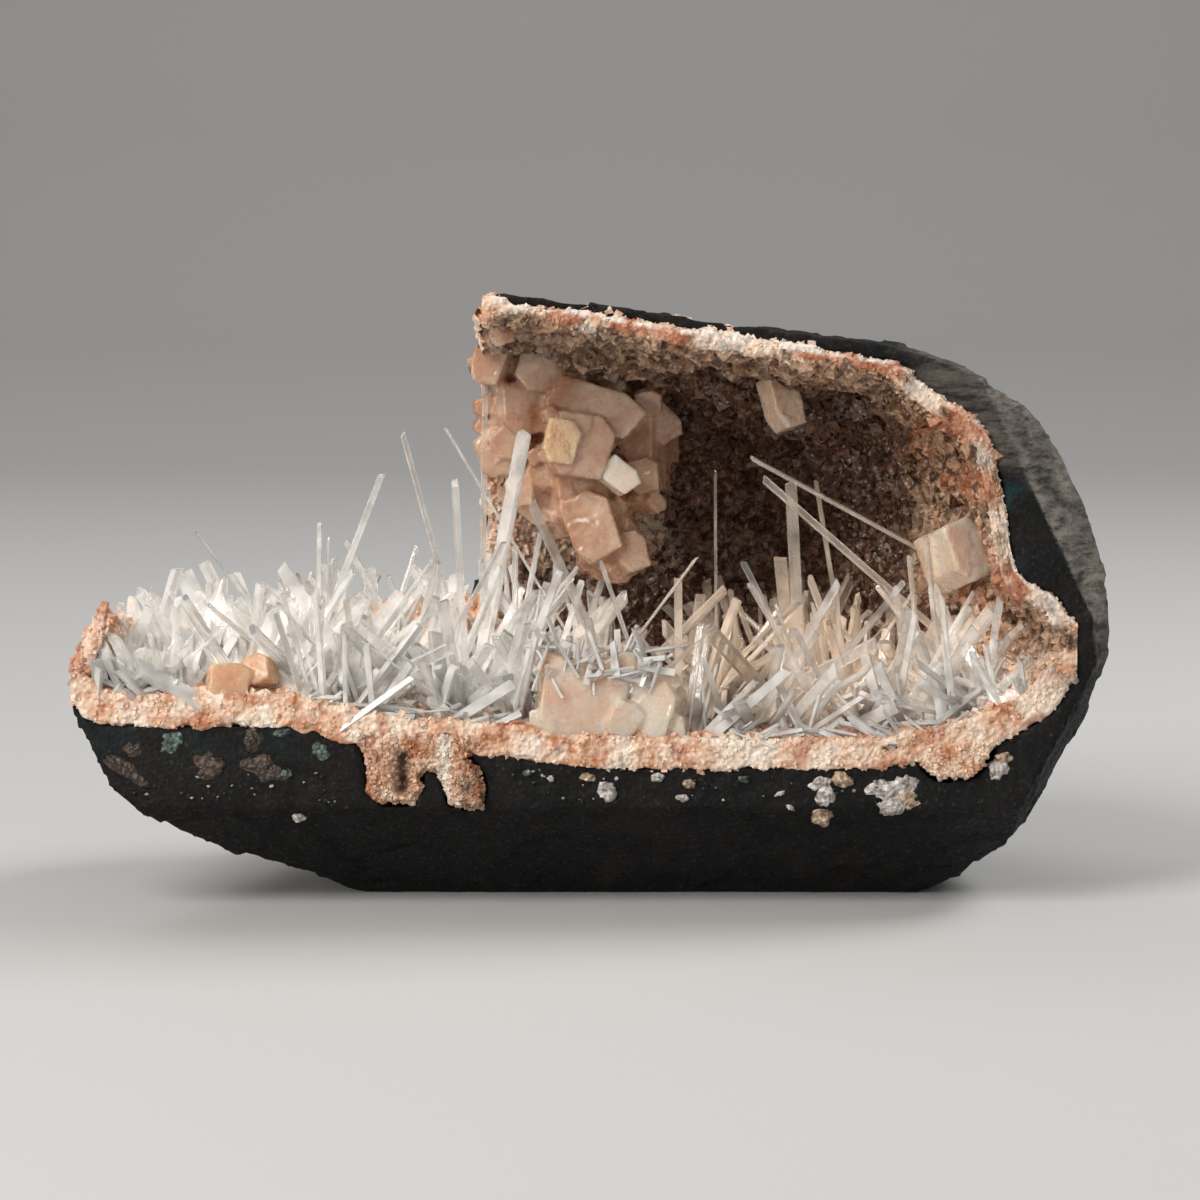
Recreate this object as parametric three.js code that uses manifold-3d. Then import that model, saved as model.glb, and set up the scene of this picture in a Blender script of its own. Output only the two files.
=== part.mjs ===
// Scolecite geode: a broken basalt pod whose hollow is lined with a zeolite crust that carries
// colourless needles and peach blocky crystals. The front is one flat broken section.
// Millimetres: X to the right along the open front, Y away from the viewer, Z up.
import * as THREE from "three";
import { mergeVertices } from "three/addons/utils/BufferGeometryUtils.js";
import Module from "manifold-3d";

const wasm = await Module();
wasm.setup();

// Driving dimensions
const ROCK_DEPTH = 100; // front section to the back of the rock
const GAP = 0.5; // clearance between the crust and the rock
const FLOOR_CRUST = 5.6; // crust thickness on the floor of the hollow
const ROOF_CRUST = 2.6; // crust thickness under the roof
const BACK_CRUST = 4.2; // crust thickness on the back wall
const BREAK_X = -21; // the roof and back wall are broken away to the left of this
const ROCK_RIM = 43; // height of the broken rock rim round the open tray
const CRUST_RIM = 50; // height of the crust where it stands above that rim
const END_WALL = 7; // how much higher the crust stands at the left end
const OVERSHOOT = 14; // how far raw forms pass the front section before they are cut
const CREST = 12; // how far behind the front section the rock is at its tallest
const CEILING_SLOPE = 0.24; // how fast the roof of the hollow comes down towards the back
const DEEPEST_AT = 0.42; // where between underside and top a cross-section goes deepest
const FLOOR_ROUNDING = 0.6; // 1 is an ellipse, less is squarer
const ROOF_ROUNDING = 0.82;
const FOOT_HEIGHT = 2.6; // height of a needle's foot above the underside of the crust
const SPRAY_COUNT = 22; // sprays of needles strewn over the floor beside the placed needles
const SPRAY_NEEDLES = 4; // needles in each spray
const ROCK_SEED = 20261; // starts the random numbers that roughen the rock and the crust
const NEEDLE_SEED = 4177; // starts the random numbers that place the sprays
const BASE_LEVEL = -2.5; // where the flat base cuts the rock
const BIG = 600; // side of the blocks that cut a form along a plane

// Outline of the rock at stations along X: underside, top and how deep it goes
const ROCK_STATIONS = [
  { x: -105, low: 35, high: 45, depth: 10 },
  { x: -103, low: 29, high: 66, depth: 24 },
  { x: -97, low: 23, high: 82, depth: 40 },
  { x: -88, low: 16, high: 94, depth: 54 },
  { x: -73, low: 7, high: 108, depth: 69 },
  { x: -52, low: -1, high: 118, depth: 81 },
  { x: -25, low: -8, high: 122.6, depth: 89 },
  { x: 0, low: -9, high: 121.2, depth: 96 },
  { x: 22, low: -9, high: 117.3, depth: 100 },
  { x: 45, low: -8, high: 114.2, depth: 99 },
  { x: 62, low: -5, high: 111.6, depth: 94 },
  { x: 76, low: 2, high: 106.5, depth: 84 },
  { x: 88, low: 13, high: 98.5, depth: 70 },
  { x: 95, low: 23, high: 90, depth: 56 },
  { x: 101, low: 36, high: 77, depth: 40 },
  { x: 104.5, low: 48, high: 63, depth: 22 },
];

// Outline of the hollow in the rock, crust included, at stations along X
const HOLLOW_STATIONS = [
  { x: -104, low: 41, high: 46, depth: 5 },
  { x: -102.4, low: 38.4, high: 52, depth: 11 },
  { x: -99.6, low: 36.8, high: 57.4, depth: 18 },
  { x: -96, low: 36.2, high: 63, depth: 25 },
  { x: -92, low: 36, high: 73, depth: 31 },
  { x: -78, low: 36, high: 91, depth: 44 },
  { x: -62, low: 36, high: 103, depth: 53 },
  { x: -48, low: 32.6, high: 111, depth: 58 },
  { x: -34, low: 31, high: 117.4, depth: 60 },
  { x: -20, low: 30, high: 120.2, depth: 61 },
  { x: -5, low: 28, high: 119, depth: 64 },
  { x: 10, low: 27.4, high: 116.4, depth: 69 },
  { x: 28, low: 27.4, high: 113.4, depth: 73 },
  { x: 45, low: 27.4, high: 111, depth: 74 },
  { x: 57, low: 27.8, high: 109.2, depth: 65 },
  { x: 62.5, low: 28, high: 107.6, depth: 57 },
  { x: 65.4, low: 28.4, high: 104, depth: 50 },
  { x: 73, low: 30, high: 99.4, depth: 35 },
  { x: 77.5, low: 31, high: 96.4, depth: 27 },
  { x: 80.6, low: 32, high: 90, depth: 22 },
  { x: 82.4, low: 33, high: 78, depth: 20 },
  { x: 84, low: 34, high: 68, depth: 19 },
  { x: 88, low: 35.5, high: 63.6, depth: 17 },
  { x: 92.6, low: 39, high: 61.8, depth: 13 },
  { x: 96.4, low: 46, high: 56.5, depth: 6 },
];

// Pockets of the rock that the crust fills below the floor: depth, and outline as X and Z
const POCKETS = [
  {
    depth: 9,
    outline: [
      [-48.1, 35.4], [-47.1, 32.8], [-45.7, 31], [-44.5, 27], [-44.9, 22.4], [-42.7, 20.2],
      [-36.1, 20], [-34.3, 23], [-34.7, 25.4], [-33.3, 27], [-30.9, 26.4], [-29.1, 23],
      [-28.1, 19.4], [-22.3, 19], [-21.9, 23], [-23.1, 26.6], [-25.1, 28.6], [-24.3, 30.4],
      [-21, 32], [-21, 33.6],
    ],
  },
  {
    depth: 9,
    outline: [[66, 31], [67, 27.4], [70, 25], [76, 25.2], [79, 28], [81, 33]],
  },
];

// Flat breaks that shape the outside of the rock, each through three points
const FACETS = [
  [[79, 0, 102], [87.5, 0, 84], [98, 22, 91]],
  [[97.5, 0, 84], [101, 0, 50], [106, 12, 62]],
  [[99.5, 0, 44], [86, 0, 17], [98, 30, 20]],
  [[60, 30, 117], [92, 40, 88], [74, 80, 80]],
  [[-10, 60, 117], [60, 62, 106], [20, 88, 78]],
  [[70, 88, 50], [98, 46, 44], [80, 66, 10]],
  [[-60, 82, 60], [10, 98, 50], [-40, 70, 6]],
  [[-101, 12, 40], [-84, 54, 38], [-84, 20, 12]],
  [[-20, 2, 122.4], [30, 2, 116.6], [20, 40, 111.2]],
];

// Needles seen one by one: root and tip as X, Y, Z, and the width across
const PLACED_NEEDLES = [
  { root: [-25, 30, 40], tip: [-38.7, 24, 92.5], width: 1.6 },
  { root: [-19, 38, 73], tip: [-30.4, 34, 92.9], width: 1.2 },
  { root: [-25.6, 16, 42], tip: [-27.7, 14, 83.8], width: 2.8 },
  { root: [-60, 20, 40], tip: [-42.9, 26, 84], width: 1.4 },
  { root: [-56, 22, 42], tip: [-55.7, 24, 74.2], width: 1.4 },
  { root: [-44.9, 12, 40.2], tip: [-62.8, 8, 67.1], width: 2.6 },
  { root: [-22.7, 34, 52], tip: [-21.6, 30, 116.4], width: 1.6 },
  { root: [-21.9, 26, 50], tip: [-13.6, 22, 93.3], width: 3.6 },
  { root: [0.7, 20, 50], tip: [-12.5, 16, 79.5], width: 3 },
  { root: [73.9, 30, 64.4], tip: [32.3, 18, 87.9], width: 1.6 },
  { root: [61.2, 24, 60.1], tip: [34.6, 16, 84], width: 1.5 },
  { root: [42.6, 22, 45.9], tip: [40.6, 22, 83], width: 2.4 },
  { root: [51.4, 26, 50], tip: [45.9, 26, 82.6], width: 1.4 },
  { root: [71, 14, 43], tip: [67.5, 12, 72.8], width: 2 },
  { root: [62.8, 8, 36], tip: [77.5, 10, 61.8], width: 2 },
  { root: [67.7, 14, 38.8], tip: [82.7, 12, 59.5], width: 3.4 },
  { root: [25.8, 38, 56.3], tip: [25.6, 38, 83.6], width: 1.4 },
  { root: [7.4, 22, 48], tip: [21.6, 16, 68], width: 2.2 },
  { root: [79, 8, 37.3], tip: [82.2, 6, 52.2], width: 1.8 },
  { root: [43.4, 12, 41.2], tip: [30.4, 10, 67.9], width: 2 },
  { root: [36, 10, 39.4], tip: [50, 8, 64], width: 1.8 },
  { root: [44, 10, 39.4], tip: [63.2, 8, 64], width: 1.8 },
  { root: [23, 7, 33.8], tip: [21.8, 5, 52.3], width: 2 },
  { root: [-59.3, 16, 42.7], tip: [-73.4, 14, 65], width: 2.2 },
  { root: [-72.8, 20, 46], tip: [-82, 20, 64.7], width: 2 },
  { root: [-39.4, 26, 49.5], tip: [-50.7, 26, 70.2], width: 1.8 },
  { root: [-43.5, 26, 45.4], tip: [-35.8, 28, 69], width: 1.8 },
  { root: [-32.8, 14, 44], tip: [-17.5, 12, 71.8], width: 2.2 },
  { root: [-14.5, 12, 43.2], tip: [-6.4, 10, 65.9], width: 1.8 },
  { root: [9.8, 14, 44], tip: [1.7, 12, 67.7], width: 1.8 },
  { root: [-72, 8, 44], tip: [-82.5, 4, 61.5], width: 3.4 },
  { root: [-82, 12, 42], tip: [-90, 10, 60.5], width: 3 },
  { root: [-92, 8, 42], tip: [-95, 6, 60], width: 3 },
];

// Blocky crystals: centre, size across, height and thickness, then roll, lean and turn in degrees
const BLOCKS = [
  { at: [-1.9, 6.6, 40.1], size: [19, 16, 12], roll: 3, lean: 86, turn: 6 },
  { at: [13.2, 6.4, 37.9], size: [10, 12.4, 11], roll: -5, lean: 84, turn: -14 },
  { at: [-73.3, 5, 43.6], size: [9, 7, 7], roll: 0, lean: 74, turn: 14 },
  { at: [-66.6, 7, 45.7], size: [5.9, 6, 6], roll: 24, lean: 70, turn: -20 },
  { at: [38.9, 26, 98.6], size: [6.8, 11.4, 7], roll: 14, lean: 74, turn: 22 },
  { at: [74.5, 16, 68.4], size: [12, 12.6, 12], roll: 18, lean: 70, turn: 30 },
  { at: [-9.1, 38, 104.7], size: [16.6, 11, 20], roll: -6, lean: 84, turn: 10 },
  { at: [-19.4, 34, 106.3], size: [7.6, 10.4, 18], roll: -12, lean: 82, turn: -10 },
  { at: [-15.4, 39, 95.7], size: [12, 11, 20], roll: 8, lean: 80, turn: 16 },
  { at: [0, 34, 95.9], size: [21, 9.4, 18], roll: -17, lean: 80, turn: 6 },
  { at: [12.1, 42, 90.5], size: [8, 12, 18], roll: 10, lean: 84, turn: -20 },
  { at: [-3.9, 32, 88.9], size: [13.4, 13, 22], roll: -8, lean: 84, turn: 12 },
  { at: [-6.1, 20.6, 91], size: [7.6, 9, 2.4], roll: -8, lean: 84, turn: 12 },
  { at: [5.4, 25.6, 83.4], size: [9, 5.6, 6], roll: -38, lean: 80, turn: 12 },
  { at: [12, 38, 82.5], size: [7, 7, 16], roll: 14, lean: 86, turn: -10 },
  { at: [-4.3, 38, 77.4], size: [12, 15, 20], roll: 12, lean: 80, turn: 18 },
  { at: [2.5, 35, 71.8], size: [11, 14, 22], roll: 30, lean: 82, turn: -14 },
  { at: [6.3, 35, 65.7], size: [7, 8, 18], roll: 20, lean: 76, turn: 16 },
  { at: [-8.6, 24.4, 96], size: [3, 3.4, 4], roll: 30, lean: 80, turn: 20 },
  { at: [-18, 8, 114.6], size: [4, 6.2, 6], roll: 12, lean: 80, turn: 20 },
  { at: [-22, 36, 97], size: [5.4, 3.6, 5], roll: 20, lean: 84, turn: 10 },
  { at: [-22, 36, 92.4], size: [5.6, 3, 5], roll: -16, lean: 84, turn: 12 },
  { at: [-23.4, 34, 106.5], size: [4.4, 2.2, 6], roll: 24, lean: 84, turn: -8 },
];

// The same random numbers at every build
let randomState = ROCK_SEED;
function random(low, high) {
  randomState = (randomState * 1664525 + 1013904223) % 4294967296;
  return low + ((high - low) * randomState) / 4294967296;
}

// Values of a station list at any X, blended between neighbours
function stationAt(stations, x) {
  const last = stations.length - 1;
  if (x <= stations[0].x) return { ...stations[0], x };
  if (x >= stations[last].x) return { ...stations[last], x };
  const next = stations.findIndex((station) => station.x >= x);
  const before = stations[next - 1];
  const after = stations[next];
  const share = (x - before.x) / (after.x - before.x);
  const blend = (key) => THREE.MathUtils.lerp(before[key], after[key], share);
  return { x, low: blend("low"), high: blend("high"), depth: blend("depth") };
}

// One closed cross-section: flat towards the floor, rounder under the roof, open past the front
function crossSection({ x, low, high, depth }, steps, crest, slope) {
  const backHeight = low + (high - low) * DEEPEST_AT;
  const points = [new THREE.Vector3(x, -OVERSHOOT, low)];
  for (let step = 0; step <= steps; step++) {
    const angle = (Math.PI * step) / steps;
    const rise = -Math.cos(angle);
    const power = rise < 0 ? FLOOR_ROUNDING : ROOF_ROUNDING;
    const reach = rise < 0 ? backHeight - low : high - backHeight;
    const y = crest + Math.max(depth - crest, 1) * Math.abs(Math.sin(angle)) ** power;
    const fall = rise < 0 ? 0 : slope * y * rise;
    const z = backHeight + Math.sign(rise) * reach * Math.abs(rise) ** power - fall;
    points.push(new THREE.Vector3(x, y, z));
  }
  points.push(new THREE.Vector3(x, -OVERSHOOT, high));
  return points;
}

// A closed skin over a row of cross-sections
function skinOver(sections) {
  const around = sections[0].length;
  const points = sections.flat();
  const index = [];
  sections.slice(1).forEach((_, ring) => {
    for (let spot = 0; spot < around; spot++) {
      const nextSpot = (spot + 1) % around;
      const a = ring * around + spot;
      const b = ring * around + nextSpot;
      index.push(a, b, a + around, b, b + around, a + around);
    }
  });
  [0, sections.length - 1].forEach((ring) => {
    const centre = new THREE.Vector3();
    sections[ring].forEach((point) => centre.addScaledVector(point, 1 / around));
    points.push(centre);
    for (let spot = 0; spot < around; spot++) {
      const a = ring * around + spot;
      const b = ring * around + ((spot + 1) % around);
      if (ring === 0) index.push(b, a, points.length - 1);
      else index.push(a, b, points.length - 1);
    }
  });
  const geometry = new THREE.BufferGeometry().setFromPoints(points);
  geometry.setIndex(index);
  return geometry;
}

function solidOf(geometry, matrix = new THREE.Matrix4()) {
  const bare = geometry.clone().applyMatrix4(matrix);
  bare.deleteAttribute("normal");
  bare.deleteAttribute("uv");
  const merged = mergeVertices(bare, 1e-4);
  const made = new wasm.Manifold(
    new wasm.Mesh({
      numProp: 3,
      vertProperties: merged.attributes.position.array,
      triVerts: new Uint32Array(merged.index.array),
    }),
  );
  return made;
}

// Takes away all of a solid that lies beyond a plane, on the side the normal points to
function cutBeyond(solid, point, normal) {
  const outward = new THREE.Vector3(...normal).normalize();
  const turn = new THREE.Quaternion().setFromUnitVectors(new THREE.Vector3(0, 0, 1), outward);
  const middle = new THREE.Vector3(...point).addScaledVector(outward, BIG / 2);
  const place = new THREE.Matrix4().compose(middle, turn, new THREE.Vector3(1, 1, 1));
  return solid.subtract(solidOf(new THREE.BoxGeometry(BIG, BIG, BIG), place));
}

// The normal of a plane through three points, turned away from the middle of the rock
function outwardNormal([first, second, third]) {
  const corner = new THREE.Vector3(...first);
  const plane = new THREE.Plane().setFromCoplanarPoints(
    corner,
    new THREE.Vector3(...second),
    new THREE.Vector3(...third),
  );
  const inside = new THREE.Vector3(0, ROCK_DEPTH / 2, 60);
  const normal = plane.normal.clone();
  if (plane.distanceToPoint(inside) > 0) normal.negate();
  return normal.toArray();
}

// The wedge of space left where roof and back wall have broken off above a rim height
function missingCorner(rim, reach, endWall) {
  const left = -BIG / 2;
  const outline = new THREE.Shape([
    new THREE.Vector2(left, rim + endWall),
    new THREE.Vector2(-97, rim + endWall),
    new THREE.Vector2(-91, rim),
    new THREE.Vector2(-60, rim + 1.5),
    new THREE.Vector2(BREAK_X - 7 + reach, rim + 4),
    new THREE.Vector2(BREAK_X - 3 + reach, rim + 16),
    new THREE.Vector2(BREAK_X - 1 + reach, 92),
    new THREE.Vector2(BREAK_X + reach, BIG / 2),
    new THREE.Vector2(left, BIG / 2),
  ]);
  const prism = new THREE.ExtrudeGeometry(outline, { depth: BIG, bevelEnabled: false });
  // Extruded along -Y, so it is set back to cover the whole depth
  const place = new THREE.Matrix4().makeRotationX(Math.PI / 2).setPosition(0, BIG / 2, 0);
  return solidOf(prism, place);
}

// A filled pocket, grown by a margin on every side
function pocketSolid({ depth, outline }, margin) {
  const shape = new THREE.Shape(outline.map(([x, z]) => new THREE.Vector2(x, z)));
  const prism = new THREE.ExtrudeGeometry(shape, {
    depth: depth + OVERSHOOT,
    bevelEnabled: margin > 0,
    bevelSize: margin,
    bevelThickness: margin,
    bevelSegments: 1,
  });
  const place = new THREE.Matrix4().makeRotationX(Math.PI / 2).setPosition(0, depth, 0);
  return solidOf(prism, place);
}

// A four-sided needle with a slanted broken tip
function needleSolid(root, tip, width, slant) {
  const start = new THREE.Vector3(...root);
  const along = new THREE.Vector3(...tip).sub(start);
  const half = width / 2;
  const outline = new THREE.Shape([
    new THREE.Vector2(half, 0),
    new THREE.Vector2(0, half * 0.8),
    new THREE.Vector2(-half, 0),
    new THREE.Vector2(0, -half * 0.8),
  ]);
  const needle = new THREE.ExtrudeGeometry(outline, { depth: along.length(), bevelEnabled: false });
  const spots = needle.attributes.position;
  for (let i = 0; i < spots.count; i++) {
    if (spots.getZ(i) > 0) spots.setZ(i, spots.getZ(i) - slant * (spots.getX(i) + half));
  }
  const turn = new THREE.Quaternion().setFromUnitVectors(
    new THREE.Vector3(0, 0, 1),
    along.clone().normalize(),
  );
  return solidOf(needle, new THREE.Matrix4().compose(start, turn, new THREE.Vector3(1, 1, 1)));
}

// A blocky crystal with a six-sided, coffin-like outline
function blockSolid({ at, size, roll, lean, turn }) {
  const [across, tall, thick] = size;
  const outline = new THREE.Shape([
    new THREE.Vector2(-across / 2, -tall * 0.2),
    new THREE.Vector2(-across * 0.3, -tall / 2),
    new THREE.Vector2(across * 0.34, -tall / 2),
    new THREE.Vector2(across / 2, tall * 0.24),
    new THREE.Vector2(across * 0.24, tall / 2),
    new THREE.Vector2(-across * 0.4, tall / 2),
  ]);
  const block = new THREE.ExtrudeGeometry(outline, { depth: thick, bevelEnabled: false });
  block.translate(0, 0, -thick / 2);
  const place = new THREE.Matrix4().makeTranslation(...at);
  place.multiply(new THREE.Matrix4().makeRotationZ(THREE.MathUtils.degToRad(turn)));
  place.multiply(new THREE.Matrix4().makeRotationX(THREE.MathUtils.degToRad(lean)));
  place.multiply(new THREE.Matrix4().makeRotationZ(THREE.MathUtils.degToRad(roll)));
  return solidOf(block, place);
}

// The hollow in the rock, drawn in evenly along its own faces
function hollowForm(inset) {
  const sections = HOLLOW_STATIONS.map((station) => crossSection(station, 12, 0, CEILING_SLOPE));
  const skin = skinOver(sections);
  skin.computeVertexNormals();
  const spots = skin.attributes.position;
  const normals = skin.attributes.normal;
  for (let i = 0; i < spots.count; i++) {
    const spot = new THREE.Vector3().fromBufferAttribute(spots, i);
    spot.addScaledVector(new THREE.Vector3().fromBufferAttribute(normals, i), -inset);
    spots.setXYZ(i, spot.x, spot.y, spot.z);
  }
  return solidOf(skin);
}

// The free space inside the crust, with lumps of crust standing into it
function freeSpace(stops, steps, floorLayer, roofLayer, backLayer, lumps) {
  const ends = [HOLLOW_STATIONS[0].x + backLayer * 0.9, HOLLOW_STATIONS.at(-1).x - backLayer * 0.6];
  const sections = [];
  for (const x of stops) {
    const nearby = [-roofLayer, 0, roofLayer].map((step) => stationAt(HOLLOW_STATIONS, x + step));
    const low = Math.max(...nearby.map((station) => station.low)) + floorLayer;
    const high = Math.max(Math.min(...nearby.map((station) => station.high)) - roofLayer, low + 1.5);
    const depth = Math.max(Math.min(...nearby.map((station) => station.depth)) - backLayer, 1);
    const middle = new THREE.Vector3(x, depth * 0.3, (low + high) / 2);
    const across = THREE.MathUtils.clamp(x, ...ends);
    const ring = crossSection({ x: across, low, high, depth }, steps, 0, CEILING_SLOPE);
    ring.forEach((point, spot) => {
      if (spot === 0 || spot === ring.length - 1) return;
      const outward = point.clone().sub(middle).normalize();
      point.addScaledVector(outward, -random(0, lumps));
    });
    sections.push(ring);
  }
  return solidOf(skinOver(sections));
}

const innerStops = [];
for (let x = -99; x < 77; x += 7) innerStops.push(x);
innerStops.push(79, 81, 83, 86, 90, 94.4);

// Basalt: the pod, cut flat at front and base, broken into facets and hollowed
const rockSections = ROCK_STATIONS.map((station) => {
  const section = crossSection(station, 16, Math.min(CREST, station.depth * 0.4), 0);
  section.forEach((point, spot) => {
    if (spot < 2 || spot > section.length - 3) return;
    point.add(new THREE.Vector3(0, random(-2.2, 1), random(-1.6, 0.8)));
  });
  return section;
});
let basalt = solidOf(skinOver(rockSections));
basalt = cutBeyond(basalt, [0, 0, 0], [0, -1, 0]);
basalt = cutBeyond(basalt, [0, 0, BASE_LEVEL], [0, 0, -1]);
basalt = cutBeyond(basalt, [0, 0, 18.5], [0, -1, -1.05]);
FACETS.forEach((facet) => {
  basalt = cutBeyond(basalt, facet[0], outwardNormal(facet));
});
basalt = basalt.subtract(hollowForm(0)).subtract(missingCorner(ROCK_RIM, 0, -1));
POCKETS.forEach((pocket) => {
  basalt = basalt.subtract(pocketSolid(pocket, GAP));
});

// Crust: a layer on the hollow's wall, cut at the front and at the breaks
const envelope = hollowForm(GAP);
const free = freeSpace(innerStops, 12, FLOOR_CRUST, ROOF_CRUST, BACK_CRUST, 1.6);
let crust = envelope.subtract(free);
crust = cutBeyond(crust, [0, 0, 0], [0, -1, 0]);
crust = crust.subtract(missingCorner(CRUST_RIM, 0.8, END_WALL));
POCKETS.forEach((pocket) => {
  crust = crust.add(cutBeyond(pocketSolid(pocket, 0), [0, 0, 0], [0, -1, 0]));
});

// Crystals: placed needles, sprays of needles and peach blocks, trimmed to the inside of the hollow
const crystals = [];
PLACED_NEEDLES.forEach(({ root, tip, width }) => {
  const foot = new THREE.Vector3(...root).sub(new THREE.Vector3(...tip)).normalize();
  const floor = stationAt(HOLLOW_STATIONS, root[0]).low + FOOT_HEIGHT;
  const sink = Math.min((root[2] - floor) / Math.max(-foot.z, 0.3), 40);
  const start = new THREE.Vector3(...root).addScaledVector(foot, Math.max(sink, 0));
  crystals.push(needleSolid(start.toArray(), tip, width, 0.5));
});
randomState = NEEDLE_SEED;
for (let spray = 0; spray < SPRAY_COUNT; spray++) {
  const share = (spray + random(0, 1)) / SPRAY_COUNT;
  const x = THREE.MathUtils.lerp(-97, 88, share);
  const station = stationAt(HOLLOW_STATIONS, x);
  const atLeft = x < -62;
  const y = random(4, Math.max(station.depth - 14, 8));
  const across = random(0, 2 * Math.PI);
  for (let count = 0; count < SPRAY_NEEDLES; count++) {
    const root = [x + random(-3, 3), y, station.low + FOOT_HEIGHT];
    const heading = across + random(-0.7, 0.7) + (count % 2) * Math.PI;
    const lean = THREE.MathUtils.degToRad(random(6, 62));
    const length = atLeft ? random(13, 23) : random(20, 38);
    const width = atLeft ? random(2.4, 4.2) : random(1.6, 3.2);
    const tip = [
      root[0] + length * Math.sin(lean) * Math.cos(heading),
      Math.max(y + length * Math.sin(lean) * Math.sin(heading), 1),
      root[2] + length * Math.cos(lean),
    ];
    crystals.push(needleSolid(root, tip, width, random(0.1, 0.9)));
  }
}
BLOCKS.forEach((block) => crystals.push(blockSolid(block)));
crust = crust.add(wasm.Manifold.union(crystals).intersect(envelope));

// Both solids as named meshes, moved so that the whole is centred over the origin and stands on Z = 0
function namedMesh(name, solid, colour, roughness) {
  const made = solid.getMesh();
  const positions = new Float32Array(made.numVert * 3);
  for (let vertex = 0; vertex < made.numVert; vertex++) {
    const from = vertex * made.numProp;
    positions.set(made.vertProperties.subarray(from, from + 3), vertex * 3);
  }
  const geometry = new THREE.BufferGeometry();
  geometry.setAttribute("position", new THREE.BufferAttribute(positions, 3));
  geometry.setIndex(new THREE.BufferAttribute(made.triVerts, 1));
  const material = new THREE.MeshStandardMaterial({ color: colour, roughness, flatShading: true });
  const mesh = new THREE.Mesh(geometry, material);
  mesh.name = name;
  return mesh;
}

const whole = basalt.add(crust).boundingBox();
const centreX = (whole.min[0] + whole.max[0]) / 2;
const centreY = (whole.min[1] + whole.max[1]) / 2;

const geode = new THREE.Group();
geode.name = "scolecite_geode";
geode.add(namedMesh("basalt_matrix", basalt, 0x24211f, 0.9));
geode.add(namedMesh("crystal_crust", crust, 0xe6d8cc, 0.5));
geode.children.forEach((mesh) => mesh.geometry.translate(-centreX, -centreY, -whole.min[2]));

export default geode;
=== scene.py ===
"""Looks of the scolecite geode: basalt, sugary zeolite crust, clear needles and peach blocks."""

import math
from itertools import product

import bpy
import numpy as np
from mathutils import Matrix, Vector


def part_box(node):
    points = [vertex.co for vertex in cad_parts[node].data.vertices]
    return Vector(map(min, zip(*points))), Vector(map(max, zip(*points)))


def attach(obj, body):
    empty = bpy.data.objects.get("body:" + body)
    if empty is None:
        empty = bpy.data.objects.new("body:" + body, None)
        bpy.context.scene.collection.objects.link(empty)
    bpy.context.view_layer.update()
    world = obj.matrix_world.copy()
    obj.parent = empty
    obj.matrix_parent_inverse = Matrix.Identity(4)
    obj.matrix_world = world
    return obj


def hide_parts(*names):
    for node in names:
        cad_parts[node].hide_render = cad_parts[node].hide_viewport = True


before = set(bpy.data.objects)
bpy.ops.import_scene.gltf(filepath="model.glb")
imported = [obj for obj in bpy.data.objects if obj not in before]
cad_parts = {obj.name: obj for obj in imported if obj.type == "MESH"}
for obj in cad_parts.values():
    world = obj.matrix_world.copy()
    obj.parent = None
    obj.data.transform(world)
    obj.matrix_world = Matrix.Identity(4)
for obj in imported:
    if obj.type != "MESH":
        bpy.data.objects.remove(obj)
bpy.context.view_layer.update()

MM = 0.001

# Where the front section, the left end and the base of the rock lie in the frame
rock_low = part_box("basalt_matrix")[0]
LEFT_END = -105.0
BASE_LEVEL = -2.5
SHIFT = np.array([rock_low.x / MM - LEFT_END, rock_low.y / MM, -BASE_LEVEL])

# Driving dimensions in millimetres, the same as the solids have
FLOOR_CRUST = 5.6
ROOF_CRUST = 2.6
BACK_CRUST = 4.2
BREAK_X = -21.0
ROCK_RIM = 43.0
CRUST_RIM = 50.0
END_WALL = 7.0
CEILING_SLOPE = 0.24
DEEPEST_AT = 0.42
FLOOR_ROUNDING = 0.6
ROOF_ROUNDING = 0.82
FOOT_HEIGHT = 2.6
UNDERCUT_FROM = 18.5
UNDERCUT_SLOPE = 1.05

# How far the crust stands before the front section, how fine the meshes are, and how many grains
PROUD = 0.55
ROCK_GRID = 0.00118
LINING_STEP = 0.62
BLOCK_GRID = 0.00045
RELIEF_STEP = 0.34
GRAIN_COUNT = 15500

# The hollow at stations along X: underside, top and depth
HOLLOW = np.array([
    [-104, 41, 46, 5], [-102.4, 38.4, 52, 11], [-99.6, 36.8, 57.4, 18], [-96, 36.2, 63, 25],
    [-92, 36, 73, 31], [-78, 36, 91, 44], [-62, 36, 103, 53], [-48, 32.6, 111, 58],
    [-34, 31, 117.4, 60], [-20, 30, 120.2, 61], [-5, 28, 119, 64], [10, 27.4, 116.4, 69],
    [28, 27.4, 113.4, 73], [45, 27.4, 111, 74], [57, 27.8, 109.2, 65], [62.5, 28, 107.6, 57],
    [65.4, 28.4, 104, 50], [73, 30, 99.4, 35], [77.5, 31, 96.4, 27], [80.6, 32, 90, 22],
    [82.4, 33, 78, 20], [84, 34, 68, 19], [88, 35.5, 63.6, 17], [92.6, 39, 61.8, 13],
    [96.4, 46, 56.5, 6],
])

# Flat breaks at the right of the rock, each through three points, where light is painted on the rock
TOP_BREAK = [(79, 0, 102), (87.5, 0, 84), (98, 22, 91)]
EDGE_BREAK = [(97.5, 0, 84), (101, 0, 50), (106, 12, 62)]

# A point well inside the hollow
HOLLOW_MIDDLE = (0.0, 10.0, 70.0)

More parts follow.
